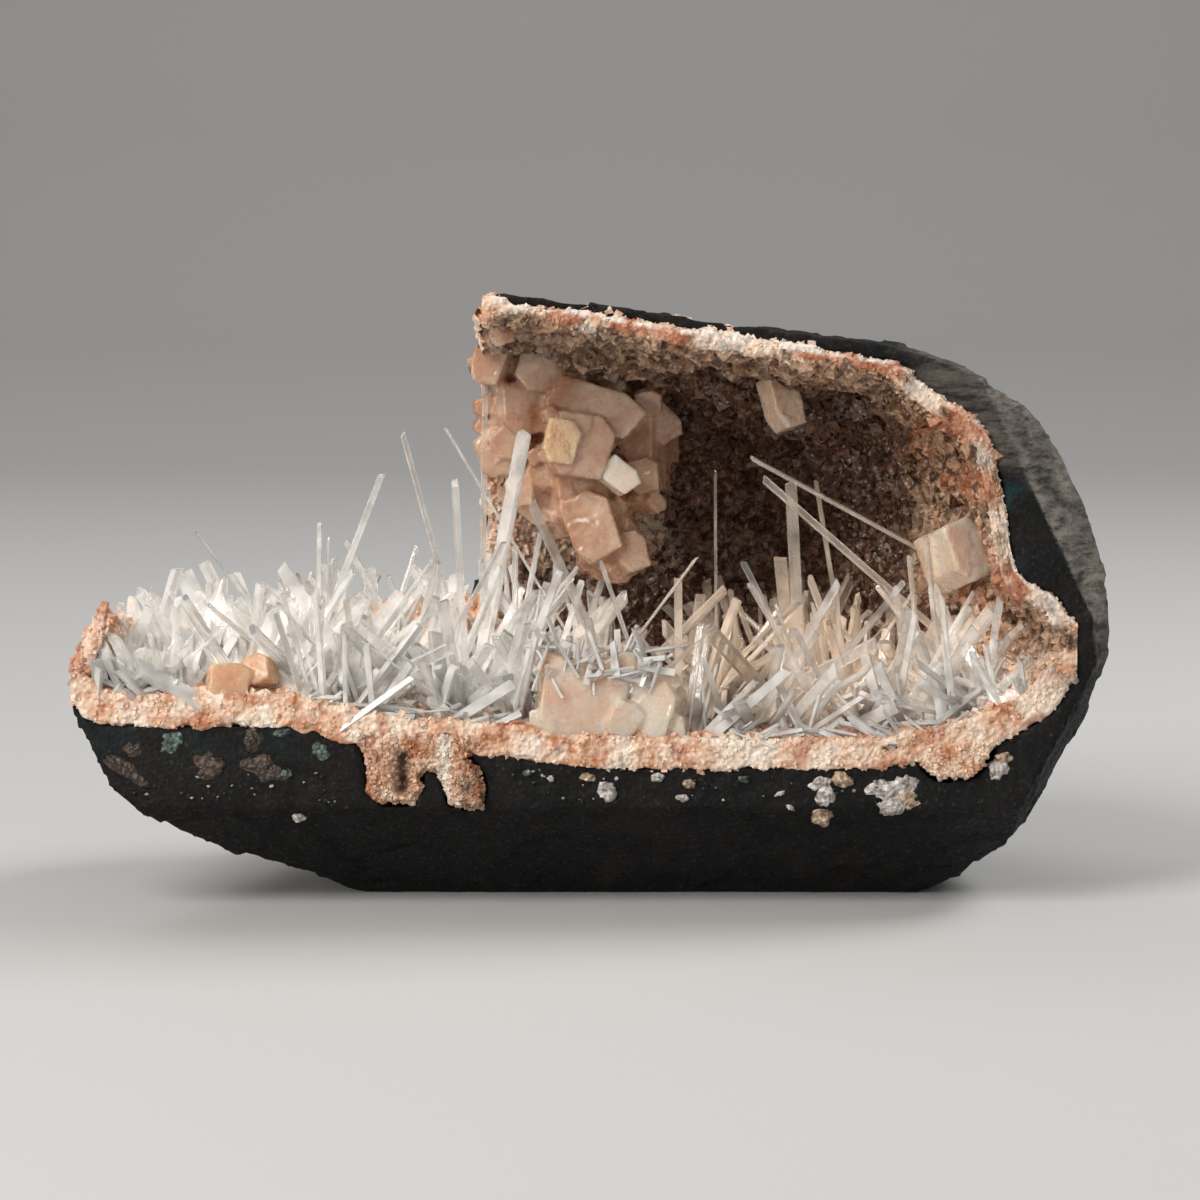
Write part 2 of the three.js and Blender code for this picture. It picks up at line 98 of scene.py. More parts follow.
# Pockets of the rock that the crust fills below the floor, as outlines of X and Z
LEFT_POCKET = [
    (-48.1, 35.4), (-47.1, 32.8), (-45.7, 31), (-44.5, 27), (-44.9, 22.4), (-42.7, 20.2),
    (-36.1, 20), (-34.3, 23), (-34.7, 25.4), (-33.3, 27), (-30.9, 26.4), (-29.1, 23),
    (-28.1, 19.4), (-22.3, 19), (-21.9, 23), (-23.1, 26.6), (-25.1, 28.6), (-24.3, 30.4),
    (-21, 32), (-21, 33.6),
]
RIGHT_POCKET = [(66, 31), (67, 27.4), (70, 25), (76, 25.2), (79, 28), (81, 33)]

# Needles seen one by one: X, Y and Z of root and tip, then the width
PLACED_NEEDLES = [
    (-25, 30, 40, -38.7, 24, 92.5, 1.6), (-19, 38, 73, -30.4, 34, 92.9, 1.2),
    (-25.6, 16, 42, -27.7, 14, 83.8, 2.8), (-60, 20, 40, -42.9, 26, 84, 1.4),
    (-56, 22, 42, -55.7, 24, 74.2, 1.4), (-44.9, 12, 40.2, -62.8, 8, 67.1, 2.6),
    (-22.7, 34, 52, -21.6, 30, 116.4, 1.6), (-21.9, 26, 50, -13.6, 22, 93.3, 3.6),
    (0.7, 20, 50, -12.5, 16, 79.5, 3), (73.9, 30, 64.4, 32.3, 18, 87.9, 1.6),
    (61.2, 24, 60.1, 34.6, 16, 84, 1.5), (42.6, 22, 45.9, 40.6, 22, 83, 2.4),
    (51.4, 26, 50, 45.9, 26, 82.6, 1.4), (71, 14, 43, 67.5, 12, 72.8, 2),
    (62.8, 8, 36, 77.5, 10, 61.8, 2), (67.7, 14, 38.8, 82.7, 12, 59.5, 3.4),
    (25.8, 38, 56.3, 25.6, 38, 83.6, 1.4), (7.4, 22, 48, 21.6, 16, 68, 2.2),
    (79, 8, 37.3, 82.2, 6, 52.2, 1.8), (43.4, 12, 41.2, 30.4, 10, 67.9, 2),
    (36, 10, 39.4, 50, 8, 64, 1.8), (44, 10, 39.4, 63.2, 8, 64, 1.8),
    (23, 7, 33.8, 21.8, 5, 52.3, 2), (-59.3, 16, 42.7, -73.4, 14, 65, 2.2),
    (-72.8, 20, 46, -82, 20, 64.7, 2), (-39.4, 26, 49.5, -50.7, 26, 70.2, 1.8),
    (-43.5, 26, 45.4, -35.8, 28, 69, 1.8), (-32.8, 14, 44, -17.5, 12, 71.8, 2.2),
    (-14.5, 12, 43.2, -6.4, 10, 65.9, 1.8), (9.8, 14, 44, 1.7, 12, 67.7, 1.8),
    (-72, 8, 44, -82.5, 4, 61.5, 3.4), (-82, 12, 42, -90, 10, 60.5, 3),
    (-92, 8, 42, -95, 6, 60, 3),
]

# Sprays of needles on the floor, from the left end on, with wider and shorter ones in the left part
SPRAY_COUNT = 22
SPRAY_NEEDLES = 4
SPRAY_START = -97
SPRAY_REACH = 185
LEFT_PART = -62

# What starts the random numbers of the sprays, of all else, and of the needles over the front blocks
NEEDLE_SEED = 4177
LOOK_SEED = 88
OVERGROWTH_SEED = 41

# How high the mass of needle tips reaches at stations along X
TIP_LEVELS = np.array([
    [-104, 57], [-92, 63], [-76, 65], [-62, 67], [-45, 70], [-26, 72], [-8, 70], [8, 65],
    [25, 62], [45, 61], [62, 58], [76, 51], [88, 46],
])

# Peach blocks: centre, size, then roll, lean and turn in degrees
BLOCKS = [
    ([-9.1, 38, 104.7], [16.6, 11, 20], -6, 84, 10),
    ([-19.4, 34, 106.3], [7.6, 10.4, 18], -12, 82, -10),
    ([-15.4, 39, 95.7], [12, 11, 20], 8, 80, 16),
    ([0, 34, 95.9], [21, 9.4, 18], -17, 80, 6),
    ([12.1, 42, 90.5], [8, 12, 18], 10, 84, -20),
    ([-3.9, 32, 88.9], [13.4, 13, 22], -8, 84, 12),
    ([12, 38, 82.5], [7, 7, 16], 14, 86, -10),
    ([-4.3, 38, 77.4], [12, 15, 20], 12, 80, 18),
    ([2.5, 35, 71.8], [11, 14, 22], 30, 82, -14),
    ([6.3, 35, 65.7], [7, 8, 18], 20, 76, 16),
    ([-8.6, 24.4, 96], [3, 3.4, 4], 30, 80, 20),
    ([-18, 8, 114.6], [4, 6.2, 6], 12, 80, 20),
    ([-22, 36, 97], [5.4, 3.6, 5], 20, 84, 10),
    ([-22, 36, 92.4], [5.6, 3, 5], -16, 84, 12),
    ([-23.4, 34, 106.5], [4.4, 2.2, 6], 24, 84, -8),
]
LONE_BLOCKS = [
    ([-1.9, 6.6, 40.1], [19, 16, 12], 3, 86, 6),
    ([13.2, 6.4, 37.9], [10, 12.4, 11], -5, 84, -14),
    ([38.9, 26, 98.6], [6.8, 11.4, 7], 14, 74, 22),
    ([74.5, 16, 68.4], [12, 12.6, 12], 18, 70, 30),
    ([-8.9, 4.4, 35.4], [6, 6.4, 8], 14, 84, -12),
    ([6.2, 4.0, 36.4], [7, 7.4, 8], -22, 86, 10),
    ([5.8, 5.6, 46.4], [7.4, 6, 8], 26, 82, 8),
    ([-7.4, 5.4, 46.6], [6.4, 5.6, 8], -16, 84, -8),
    ([17.2, 4.2, 34.8], [4.6, 5.4, 6], 16, 84, -12),
    ([14.4, 5.0, 43.6], [6.0, 4.6, 7], -28, 80, 14),
]
ORANGE_BLOCKS = [([-73.3, 5, 43.6], [9, 7, 7], 0, 74, 14), ([-66.6, 7, 45.7], [5.9, 6, 6], 24, 70, -20)]
GOLD_FACE = ([-6.1, 20.6, 91], [7.6, 9, 2.4], -8, 84, 12)
PALE_TABLET = ([5.4, 25.6, 83.4], [9, 5.6, 6], -38, 80, 12)

# Filled bubbles in the rock: X, Z, half width, half height, tilt in degrees and filling
BUBBLES = [
    (-91.9, 30.8, 2.4, 2.3, 0, "brown"), (-84.7, 32.0, 2.4, 2.2, 0, "green"),
    (-93.5, 26.2, 6.2, 1.9, -36, "brown"), (-76.3, 27.4, 3.4, 3.0, 0, "brown"),
    (-67.5, 32.8, 2.4, 2.2, 0, "brown"), (-65.7, 26.4, 4.5, 3.5, 0, "brown"),
    (-61.3, 25.6, 1.2, 1.0, 0, "green"), (-62.1, 34.2, 2.2, 0.9, 10, "green"),
    (-54.3, 30.6, 2.4, 2.2, 0, "green"), (-59.1, 16.6, 1.2, 1.0, 0, "white"),
    (-12.9, 26.0, 1.0, 0.7, 20, "green"), (-8.1, 24.8, 0.8, 0.8, 0, "white"),
    (-0.7, 25.0, 1.8, 0.9, 0, "tan"), (2.9, 22.2, 2.2, 2.0, 0, "white"),
    (13.3, 25.0, 1.5, 0.9, 0, "white"), (19.7, 23.6, 1.4, 1.0, 0, "tan"),
    (18.3, 20.8, 1.3, 0.9, 0, "white"), (30.7, 24.6, 1.5, 0.9, 0, "green"),
    (37.9, 21.8, 1.2, 0.5, 30, "white"), (39.9, 18.9, 1.1, 0.5, -20, "white"),
    (45.6, 23.8, 2.6, 1.7, 20, "white"), (50.4, 24.4, 2.6, 1.6, -16, "tan"),
    (47.2, 21.6, 2.0, 2.6, 0, "white"), (46.4, 17.4, 2.3, 2.2, 0, "tan"),
    (58.6, 22.4, 3.1, 3.0, 0, "white"), (61.9, 23.2, 3.2, 3.1, 0, "white"),
    (64.0, 20.8, 2.5, 2.1, 0, "tan"), (60.6, 19.6, 2.8, 2.2, 0, "white"),
    (81.6, 26.8, 2.2, 2.0, 60, "white"), (82.6, 29.0, 1.6, 1.2, 0, "tan"),
]


# Noise and small tools; places and sizes are in millimetres


def hashed(cell, seed):
    """Numbers from 0 to 1 that depend only on whole-number cells."""
    c = cell.astype(np.int64)
    mixed = c[..., 0] * 73856093 ^ c[..., 1] * 19349663 ^ c[..., 2] * 83492791 ^ (seed * 2654435761)
    mixed = (mixed ^ (mixed >> 13)) * 1274126177 & 0xFFFFFFFF
    mixed = (mixed ^ (mixed >> 16)) * 2246822519 & 0xFFFFFFFF
    mixed = mixed ^ (mixed >> 15)
    return (mixed & 0xFFFFFF) / float(0xFFFFFF)


def smooth_noise(points, scale, seed):
    """Soft noise from 0 to 1 with lumps of about the given size."""
    p = points / scale
    base = np.floor(p)
    f = p - base
    u = f * f * (3.0 - 2.0 * f)
    total = np.zeros(len(points))
    for corner in product((0, 1), repeat=3):
        step = np.array(corner)
        weight = np.prod(np.where(step == 1, u, 1.0 - u), axis=1)
        total += weight * hashed(base + step, seed)
    return total


def layered_noise(points, scale, layers, seed):
    total = np.zeros(len(points))
    weight = 1.0
    whole = 0.0
    for layer in range(layers):
        total += weight * smooth_noise(points, scale / 2 ** layer, seed + layer)
        whole += weight
        weight *= 0.5
    return total / whole


def cell_noise(points, scale, seed):
    """Distance to the nearest cell centre, the offset from it and the cell, in cell sizes."""
    p = points / scale
    base = np.floor(p)
    nearest = np.full(len(points), 9.0)
    offset = np.zeros_like(p)
    owner = np.zeros_like(p)
    for neighbour in product((-1, 0, 1), repeat=3):
        cell = base + np.array(neighbour)
        centre = cell + np.stack([hashed(cell, seed + k) for k in range(3)], axis=1)
        away = p - centre
        distance = np.sqrt((away ** 2).sum(axis=1))
        closer = distance < nearest
        nearest = np.where(closer, distance, nearest)
        offset[closer] = away[closer]
        owner[closer] = cell[closer]
    return nearest, offset, owner


def facet_noise(points, scale, seed):
    """Small tilted planes, like a hackly break, from about -0.5 to 0.5."""
    _, offset, owner = cell_noise(points, scale, seed)
    tilt = np.stack([hashed(owner, seed + 11 + k) - 0.5 for k in range(3)], axis=1)
    level = hashed(owner, seed + 17) - 0.5
    return (offset * tilt).sum(axis=1) * 1.2 + level * 0.5


def soft_step(low, high, value):
    share = np.clip((value - low) / (high - low), 0.0, 1.0)
    return share * share * (3.0 - 2.0 * share)


def hollow_at(x, column):
    return np.interp(x, HOLLOW[:, 0], HOLLOW[:, column])


def station(x, column):
    """A station value at any X, with rounded corners between stations."""
    return np.mean([hollow_at(x + step, column) for step in np.linspace(-1.6, 1.6, 7)], axis=0)


def scene_object(name, data):
    """A new object in the scene that carries the given data."""
    obj = bpy.data.objects.new(name, data)
    bpy.context.scene.collection.objects.link(obj)
    return obj


def mesh_object(name, points, faces, smooth=True):
    mesh = bpy.data.meshes.new(name)
    mesh.from_pydata(((points + SHIFT) * MM).tolist(), [], faces)
    mesh.update()
    mesh.polygons.foreach_set("use_smooth", [smooth] * len(mesh.polygons))
    return scene_object(name, mesh)


def paint(obj, name, values):
    """A number per vertex that the material reads."""
    layer = obj.data.attributes.new(name, "FLOAT", "POINT")
    layer.data.foreach_set("value", np.asarray(values, dtype=np.float32))


def finish_piece(obj, material):
    obj.data.materials.clear()
    obj.data.materials.append(material)
    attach(obj, "root")


def grid_faces(rows, columns):
    index = np.arange(rows * columns).reshape(rows, columns)
    a = index[:-1, :-1].ravel()
    b = index[1:, :-1].ravel()
    c = index[1:, 1:].ravel()
    d = index[:-1, 1:].ravel()
    return np.stack([a, d, c, b], axis=1)


def grid_normals(points, rows, columns):
    p = points.reshape(rows, columns, 3)
    along = np.gradient(p, axis=0)
    across = np.gradient(p, axis=1)
    normal = np.cross(across, along)
    length = np.linalg.norm(normal, axis=2, keepdims=True)
    return (normal / np.maximum(length, 1e-9)).reshape(-1, 3)


def resample(path, shares):
    """Points at given shares of a path's length."""
    steps = np.linalg.norm(np.diff(path, axis=0), axis=1)
    reach = np.concatenate([[0.0], np.cumsum(steps)])
    at = shares * reach[-1]
    return np.stack([np.interp(at, reach, path[:, k]) for k in range(2)], axis=1)


def join_shapes(shapes):
    points, faces, start = [], [], 0
    for shape_points, shape_faces in shapes:
        points.append(shape_points)
        faces.extend((np.asarray(shape_faces) + start).tolist())
        start += len(shape_points)
    return np.concatenate(points), faces


def remeshed(obj, grid):
    """An even, finely meshed copy of an object; the object itself is removed."""
    modifier = obj.modifiers.new("even", "REMESH")
    modifier.mode = "VOXEL"
    modifier.voxel_size = grid
    graph = bpy.context.evaluated_depsgraph_get()
    mesh = bpy.data.meshes.new_from_object(obj.evaluated_get(graph))
    bpy.data.objects.remove(obj)
    return mesh


def vertex_data(mesh):
    """Places in millimetres and normals of a mesh."""
    spots = np.zeros(len(mesh.vertices) * 3)
    normals = np.zeros(len(mesh.vertices) * 3)
    mesh.vertices.foreach_get("co", spots)
    mesh.vertices.foreach_get("normal", normals)
    return spots.reshape(-1, 3) / MM - SHIFT, normals.reshape(-1, 3)


def moved_object(name, mesh, spots):
    """A smooth object whose mesh has its vertices at new places, in millimetres."""
    mesh.vertices.foreach_set("co", ((spots + SHIFT) * MM).ravel())
    mesh.polygons.foreach_set("use_smooth", [True] * len(mesh.polygons))
    mesh.update()
    return scene_object(name, mesh)


# Materials; noise scales are cells per metre and colours are linear


def new_material(name):
    material = bpy.data.materials.new(name)
    material.use_nodes = True
    tree = material.node_tree
    return material, tree, tree.nodes["Principled BSDF"]


def set_inputs(node, values):
    for socket, value in values.items():
        node.inputs[socket].default_value = value


def object_coordinates(tree):
    return tree.nodes.new("ShaderNodeTexCoord").outputs["Object"]


def painted(tree, name):
    node = tree.nodes.new("ShaderNodeAttribute")
    node.attribute_name = name
    return node.outputs["Fac"]


def noise_node(tree, vector, scale, detail=4.0, roughness=0.55):
    node = tree.nodes.new("ShaderNodeTexNoise")
    set_inputs(node, {"Scale": scale, "Detail": detail, "Roughness": roughness})
    tree.links.new(vector, node.inputs["Vector"])
    return node.outputs["Fac"]


def voronoi_node(tree, vector, scale):
    node = tree.nodes.new("ShaderNodeTexVoronoi")
    node.inputs["Scale"].default_value = scale
    tree.links.new(vector, node.inputs["Vector"])
    return node


def ramp_node(tree, source, stops):
    node = tree.nodes.new("ShaderNodeValToRGB")
    ramp = node.color_ramp
    while len(ramp.elements) < len(stops):
        ramp.elements.new(0.5)
    for element, (place, colour) in zip(ramp.elements, stops):
        element.position = place
        element.color = (*colour, 1.0)
    tree.links.new(source, node.inputs["Fac"])
    return node.outputs["Color"]


def mix_colours(tree, share, first, second):
    node = tree.nodes.new("ShaderNodeMix")
    node.data_type = "RGBA"
    tree.links.new(share, node.inputs["Factor"])
    sockets = [socket for socket in node.inputs if socket.type == "RGBA"]
    for socket, value in zip(sockets, (first, second)):
        if isinstance(value, tuple):
            socket.default_value = (*value, 1.0)
        else:
            tree.links.new(value, socket)
    return [socket for socket in node.outputs if socket.type == "RGBA"][0]


def map_range(tree, source, low, high, to_low=0.0, to_high=1.0):
    node = tree.nodes.new("ShaderNodeMapRange")
    set_inputs(node, {"From Min": low, "From Max": high, "To Min": to_low, "To Max": to_high})
    tree.links.new(source, node.inputs["Value"])
    return node.outputs["Result"]


def math_node(tree, operation, first, second):
    node = tree.nodes.new("ShaderNodeMath")
    node.operation = operation
    for socket, value in zip(node.inputs, (first, second)):
        if isinstance(value, float):
            socket.default_value = value
        else:
            tree.links.new(value, socket)
    return node.outputs["Value"]


def add_bump(tree, shader, height, strength, distance):
    bump = tree.nodes.new("ShaderNodeBump")
    set_inputs(bump, {"Strength": strength, "Distance": distance})
    tree.links.new(height, bump.inputs["Height"])
    tree.links.new(bump.outputs["Normal"], shader.inputs["Normal"])


def basalt_material():
    """Black, fine-grained rock with painted light in grey-brown on the breaks at the right, teal beside
    the rim.
    """
    material, tree, shader = new_material("basalt")
    place = object_coordinates(tree)
    broad = noise_node(tree, place, 55.0, 5.0, 0.6)
    grain = noise_node(tree, place, 1100.0, 1.0, 0.7)
    colour = ramp_node(tree, broad, [
        (0.30, (0.003, 0.003, 0.003)), (0.54, (0.006, 0.0055, 0.0055)), (0.76, (0.016, 0.014, 0.0125)),
    ])
    layered = tree.nodes.new("ShaderNodeMapping")
    layered.inputs["Scale"].default_value = (0.25, 0.25, 1.0)
    tree.links.new(place, layered.inputs["Vector"])
    streaks = noise_node(tree, layered.outputs["Vector"], 520.0, 2.0, 0.7)
    # Painted light: a lighter grey-brown with streaks, for the breaks at the right of the rock
    painted_light_tint = ramp_node(tree, streaks, [(0.34, (0.030, 0.026, 0.023)), (0.60, (0.190, 0.165, 0.140))])
    colour = mix_colours(tree, painted(tree, "painted_break_light"), colour, painted_light_tint)
    colour = mix_colours(tree, painted(tree, "teal"), colour, (0.008, 0.030, 0.032))
    speck = ramp_node(tree, grain, [(0.64, (0.0, 0.0, 0.0)), (0.78, (0.28, 0.28, 0.28))])
    colour = mix_colours(tree, speck, colour, (0.10, 0.09, 0.08))
    tree.links.new(colour, shader.inputs["Base Color"])
    tree.links.new(map_range(tree, grain, 0.3, 0.7, 0.88, 0.50), shader.inputs["Roughness"])
    shader.inputs["Specular IOR Level"].default_value = 0.22
    fine = math_node(tree, "MULTIPLY", grain, 0.5)
    height = math_node(tree, "ADD", fine, noise_node(tree, place, 260.0, 3.0, 0.6))
    add_bump(tree, shader, height, 0.8, 0.0007)
    return material


def crust_material():
    """Sugary crust: peach with rusty and white patches, tan on the ceiling, and painted shade in dark
    brown deep in the hollow.
    """
    material, tree, shader = new_material("zeolite_druse")
    place = object_coordinates(tree)
    patches = noise_node(tree, place, 150.0, 5.0, 0.65)
    colour = ramp_node(tree, patches, [
        (0.34, (0.50, 0.19, 0.085)), (0.43, (0.70, 0.42, 0.27)), (0.54, (0.80, 0.60, 0.45)),
        (0.70, (0.86, 0.76, 0.64)),
    ])
    sugar = noise_node(tree, place, 700.0, 1.0, 0.6)
    coarse = noise_node(tree, place, 430.0, 2.0, 0.6)
    tan = ramp_node(tree, coarse, [(0.40, (0.080, 0.036, 0.017)), (0.60, (0.47, 0.29, 0.175))])
    # Painted shade: the dark brown that stands for shade deep in the hollow, in its holes and in the
    # pocket's groove
    brown = ramp_node(tree, sugar, [(0.34, (0.030, 0.012, 0.006)), (0.68, (0.13, 0.058, 0.031))])
    colour = mix_colours(tree, painted(tree, "tan"), colour, tan)
    colour = mix_colours(tree, painted(tree, "rust"), colour, (0.44, 0.135, 0.055))
    colour = mix_colours(tree, painted(tree, "white"), colour, (0.85, 0.79, 0.71))
    colour = mix_colours(tree, painted(tree, "deep"), colour, brown)
    tree.links.new(colour, shader.inputs["Base Color"])
    set_inputs(shader, {"Roughness": 0.38, "Specular IOR Level": 0.6})
    cells = voronoi_node(tree, place, 900.0)
    add_bump(tree, shader, cells.outputs["Distance"], 0.7, 0.0006)
    return material


def needle_material(name, clearest, milkiest, roughness):
    """Clear to milky crystal, striated along its length."""
    material, tree, shader = new_material(name)
    along = tree.nodes.new("ShaderNodeUVMap")
    along.uv_map = "along"
    stretch = tree.nodes.new("ShaderNodeMapping")
    stretch.inputs["Scale"].default_value = (5.0, 0.10, 1.0)
    tree.links.new(along.outputs["UV"], stretch.inputs["Vector"])
    stripes = noise_node(tree, stretch.outputs["Vector"], 1.0, 1.0, 0.6)
    cloud = noise_node(tree, object_coordinates(tree), 210.0, 1.0, 0.6)
    colour = ramp_node(tree, cloud, [(0.35, (0.80, 0.78, 0.75)), (0.65, (0.93, 0.915, 0.89))])
    # Painted shade: needles deep in the hollow are tinted a dimmer beige
    colour = mix_colours(tree, painted(tree, "warm"), colour, (0.86, 0.75, 0.64))
    tree.links.new(colour, shader.inputs["Base Color"])
    gloss = map_range(tree, stripes, 0.3, 0.7, roughness * 0.4, roughness * 2.2)
    tree.links.new(gloss, shader.inputs["Roughness"])
    veil = math_node(tree, "MULTIPLY", painted(tree, "veil"), 0.75)
    veil = math_node(tree, "ADD", veil, map_range(tree, cloud, 0.35, 0.65, 0.0, 0.3))
    clear = map_range(tree, veil, 0.0, 1.0, clearest, milkiest)
    tree.links.new(clear, shader.inputs["Transmission Weight"])
    shader.inputs["IOR"].default_value = 1.51
    add_bump(tree, shader, stripes, 0.14, 0.0003)
    return material


def clear_needle_material():
    """Clear crystal that absorbs a little light inside."""
    material = needle_material("scolecite_clear", clearest=0.98, milkiest=0.58, roughness=0.05)
    tree = material.node_tree
    inside = tree.nodes.new("ShaderNodeVolumeAbsorption")
    set_inputs(inside, {"Color": (0.95, 0.94, 0.92, 1.0), "Density": 18.0})
    output = tree.nodes["Material Output"]
    tree.links.new(inside.outputs["Volume"], output.inputs["Volume"])
    return material


def block_material(name, warm, pale, transmission, pits):
    """Waxy, half see-through crystal with stepped faces."""
    material, tree, shader = new_material(name)
    place = object_coordinates(tree)
    cloud = noise_node(tree, place, 95.0, 5.0, 0.62)
    colour = ramp_node(tree, cloud, [(0.34, warm), (0.60, pale)])
    tree.links.new(colour, shader.inputs["Base Color"])
    wear = noise_node(tree, place, 420.0, 2.0, 0.65)
    tree.links.new(map_range(tree, wear, 0.3, 0.7, 0.12, 0.36), shader.inputs["Roughness"])
    set_inputs(shader, {
        "IOR": 1.50, "Transmission Weight": transmission, "Subsurface Weight": 0.55,
        "Subsurface Radius": (1.0, 0.55, 0.35), "Subsurface Scale": 0.005,
    })
    ledges = noise_node(tree, place, 160.0, 4.0, 0.7)
    add_bump(tree, shader, math_node(tree, "ADD", ledges, wear), pits, 0.0010)
    return material


def filling_material(name, dark, light, crumbs):
    material, tree, shader = new_material(name)
    place = object_coordinates(tree)
    colour = ramp_node(tree, noise_node(tree, place, 620.0, 4.0, 0.65), [
        (0.36, dark), (0.56, light), (0.70, crumbs),
    ])
    tree.links.new(colour, shader.inputs["Base Color"])
    shader.inputs["Roughness"].default_value = 0.5
    cells = voronoi_node(tree, place, 1100.0)
    add_bump(tree, shader, cells.outputs["Distance"], 0.8, 0.0006)
    return material


# Basalt: the CAD rock, remeshed finely and roughened as a hackly break


def in_hollow(points, grow):
    """True for points inside the hollow's form, grown by a margin."""
    x, y, z = points.T
    low = hollow_at(x, 1) - grow
    high = hollow_at(x, 2) + grow
    depth = hollow_at(x, 3) + grow
    middle = low + (high - low) * DEEPEST_AT
    upper = z > middle
    raised = z + np.where(upper, CEILING_SLOPE * y, 0.0)
    reach = np.where(upper, high - middle, middle - low)
    power = np.where(upper, ROOF_ROUNDING, FLOOR_ROUNDING)
    rise = np.clip(np.abs(raised - middle) / reach, 0.0, 1.0) ** (1.0 / power)
    limit = depth * np.sqrt(1.0 - rise ** 2) ** power
    within = (x > HOLLOW[0, 0] - grow) & (x < HOLLOW[-1, 0] + grow)
    return within & (rise < 1.0) & (y < limit)


def near_break(points, corners):
    """1 for points on the flat break through three corners, 0 away from it."""
    first, second, third = np.array(corners, float)
    normal = np.cross(second - first, third - first)
    away = np.abs((points - first) @ normal) / np.linalg.norm(normal)
    away += 1.6 * (layered_noise(points, 3.6, 3, 409) - 0.5)
    return soft_step(1.5, 0.4, away)


def rock_tones(points):
    """Where the rock has painted light in grey-brown, and where it is stained teal."""
    x, y, z = points.T
    cloud = layered_noise(points, 9.0, 3, 401)
    # Painted light: the breaks and the rock's top above the right of the hollow are painted lighter, as
    # if lit
    painted_break_light = np.maximum(near_break(points, TOP_BREAK), 0.55 * near_break(points, EDGE_BREAK))
    painted_break_light = painted_break_light * soft_step(0.3, 0.9, y) * (0.65 + 0.35 * soft_step(0.3, 0.6, cloud))
    ragged = 10.0 * (cloud - 0.5)
    above_rim = soft_step(58.0, 68.0, x + ragged) * soft_step(83.0, 88.0, z + ragged)
    painted_break_light = np.maximum(painted_break_light, 0.55 * above_rim * soft_step(46.0, 30.0, y))
    beside_rim = soft_step(79.0, 81.0, x) * soft_step(88.0, 84.0, x)
    beside_rim = beside_rim * soft_step(65.0, 69.0, z) * soft_step(86.0, 82.0, z)
    under_tray = soft_step(-46.0, -54.0, x) * soft_step(27.0, 32.0, z)
    mottle = layered_noise(points, 3.2, 2, 407)
    stain = (beside_rim + 0.18 * under_tray) * soft_step(8.0, 2.0, y) * soft_step(0.46, 0.62, mottle)
    return painted_break_light, stain


def make_basalt():
    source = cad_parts["basalt_matrix"]
    mesh = remeshed(scene_object("basalt_raw", source.data.copy()), ROCK_GRID)
    spots, normals = vertex_data(mesh)
    push = 1.5 * (facet_noise(spots, 16.0, 3) - 0.2)
    push += 0.85 * (facet_noise(spots, 5.5, 29) - 0.1)
    push += 0.45 * (layered_noise(spots, 2.2, 2, 51) - 0.5)
    painted_break_light, stain = rock_tones(spots)
    layers = np.abs((spots[:, 2] / 2.4 + 0.8 * smooth_noise(spots, 9.0, 77)) % 1.0 - 0.5)
    push = push * (1.0 - 0.75 * painted_break_light) - 0.5 * painted_break_light * soft_step(0.14, 0.0, layers)
    on_front = soft_step(1.6, 0.2, spots[:, 1])
    on_base = soft_step(2.0, 0.3, spots[:, 2] - BASE_LEVEL)
    push = np.minimum(push, 0.5) * (1.0 - 0.5 * on_front) * (1.0 - 0.9 * on_base)
    push = np.where(on_front > 0.5, np.minimum(push, 0.3), push)
    behind_crust = in_hollow(spots, 1.4) & (spots[:, 1] > 0.8)
    push = np.where(behind_crust, -0.6, push)
    moved = spots + normals * push[:, None]
    moved[:, 2] = np.maximum(moved[:, 2], BASE_LEVEL)
    moved[:, 0] = np.clip(moved[:, 0], LEFT_END - 0.3, -LEFT_END)
    past_break = (spots[:, 2] > 57.0) & (moved[:, 0] < BREAK_X + 0.3)
    moved[:, 0] = np.where(past_break, BREAK_X + 0.3, moved[:, 0])
    rock = moved_object("basalt_rock", mesh, moved)
    # Painted light on the breaks, and the teal stain
    paint(rock, "painted_break_light", painted_break_light)
    paint(rock, "teal", stain)
    finish_piece(rock, basalt_material())
    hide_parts("basalt_matrix")


# Crust lining: a fine skin from the front band, round the hollow and back to the front

BAND_POINTS = 30
INNER_POINTS = 176
ROOF_POINTS = 22

# Points that a section is worked out from, points along the crust's broken edge, and rows across it
SECTION_POINTS = 240
EDGE_POINTS = 200
EDGE_ROWS = 9

# Small open holes in the front of the crust: X, Z, half width, half height and depth
BAND_HOLES = [(-37.3, 32.4, 3.0, 0.8, 1.8), (-29.3, 31.8, 1.5, 2.3, 2.0), (60.0, 31.2, 1.6, 0.7, 1.2)]


def hole_depth(points):
    depth = np.zeros(len(points))
    for x, z, half_width, half_height, deep in BAND_HOLES:
        away = ((points[:, 0] - x) / half_width) ** 2 + ((points[:, 2] - z) / half_height) ** 2
        depth = np.maximum(depth, deep * soft_step(1.3, 0.4, away))
    return depth * soft_step(3.0, 1.0, points[:, 1])


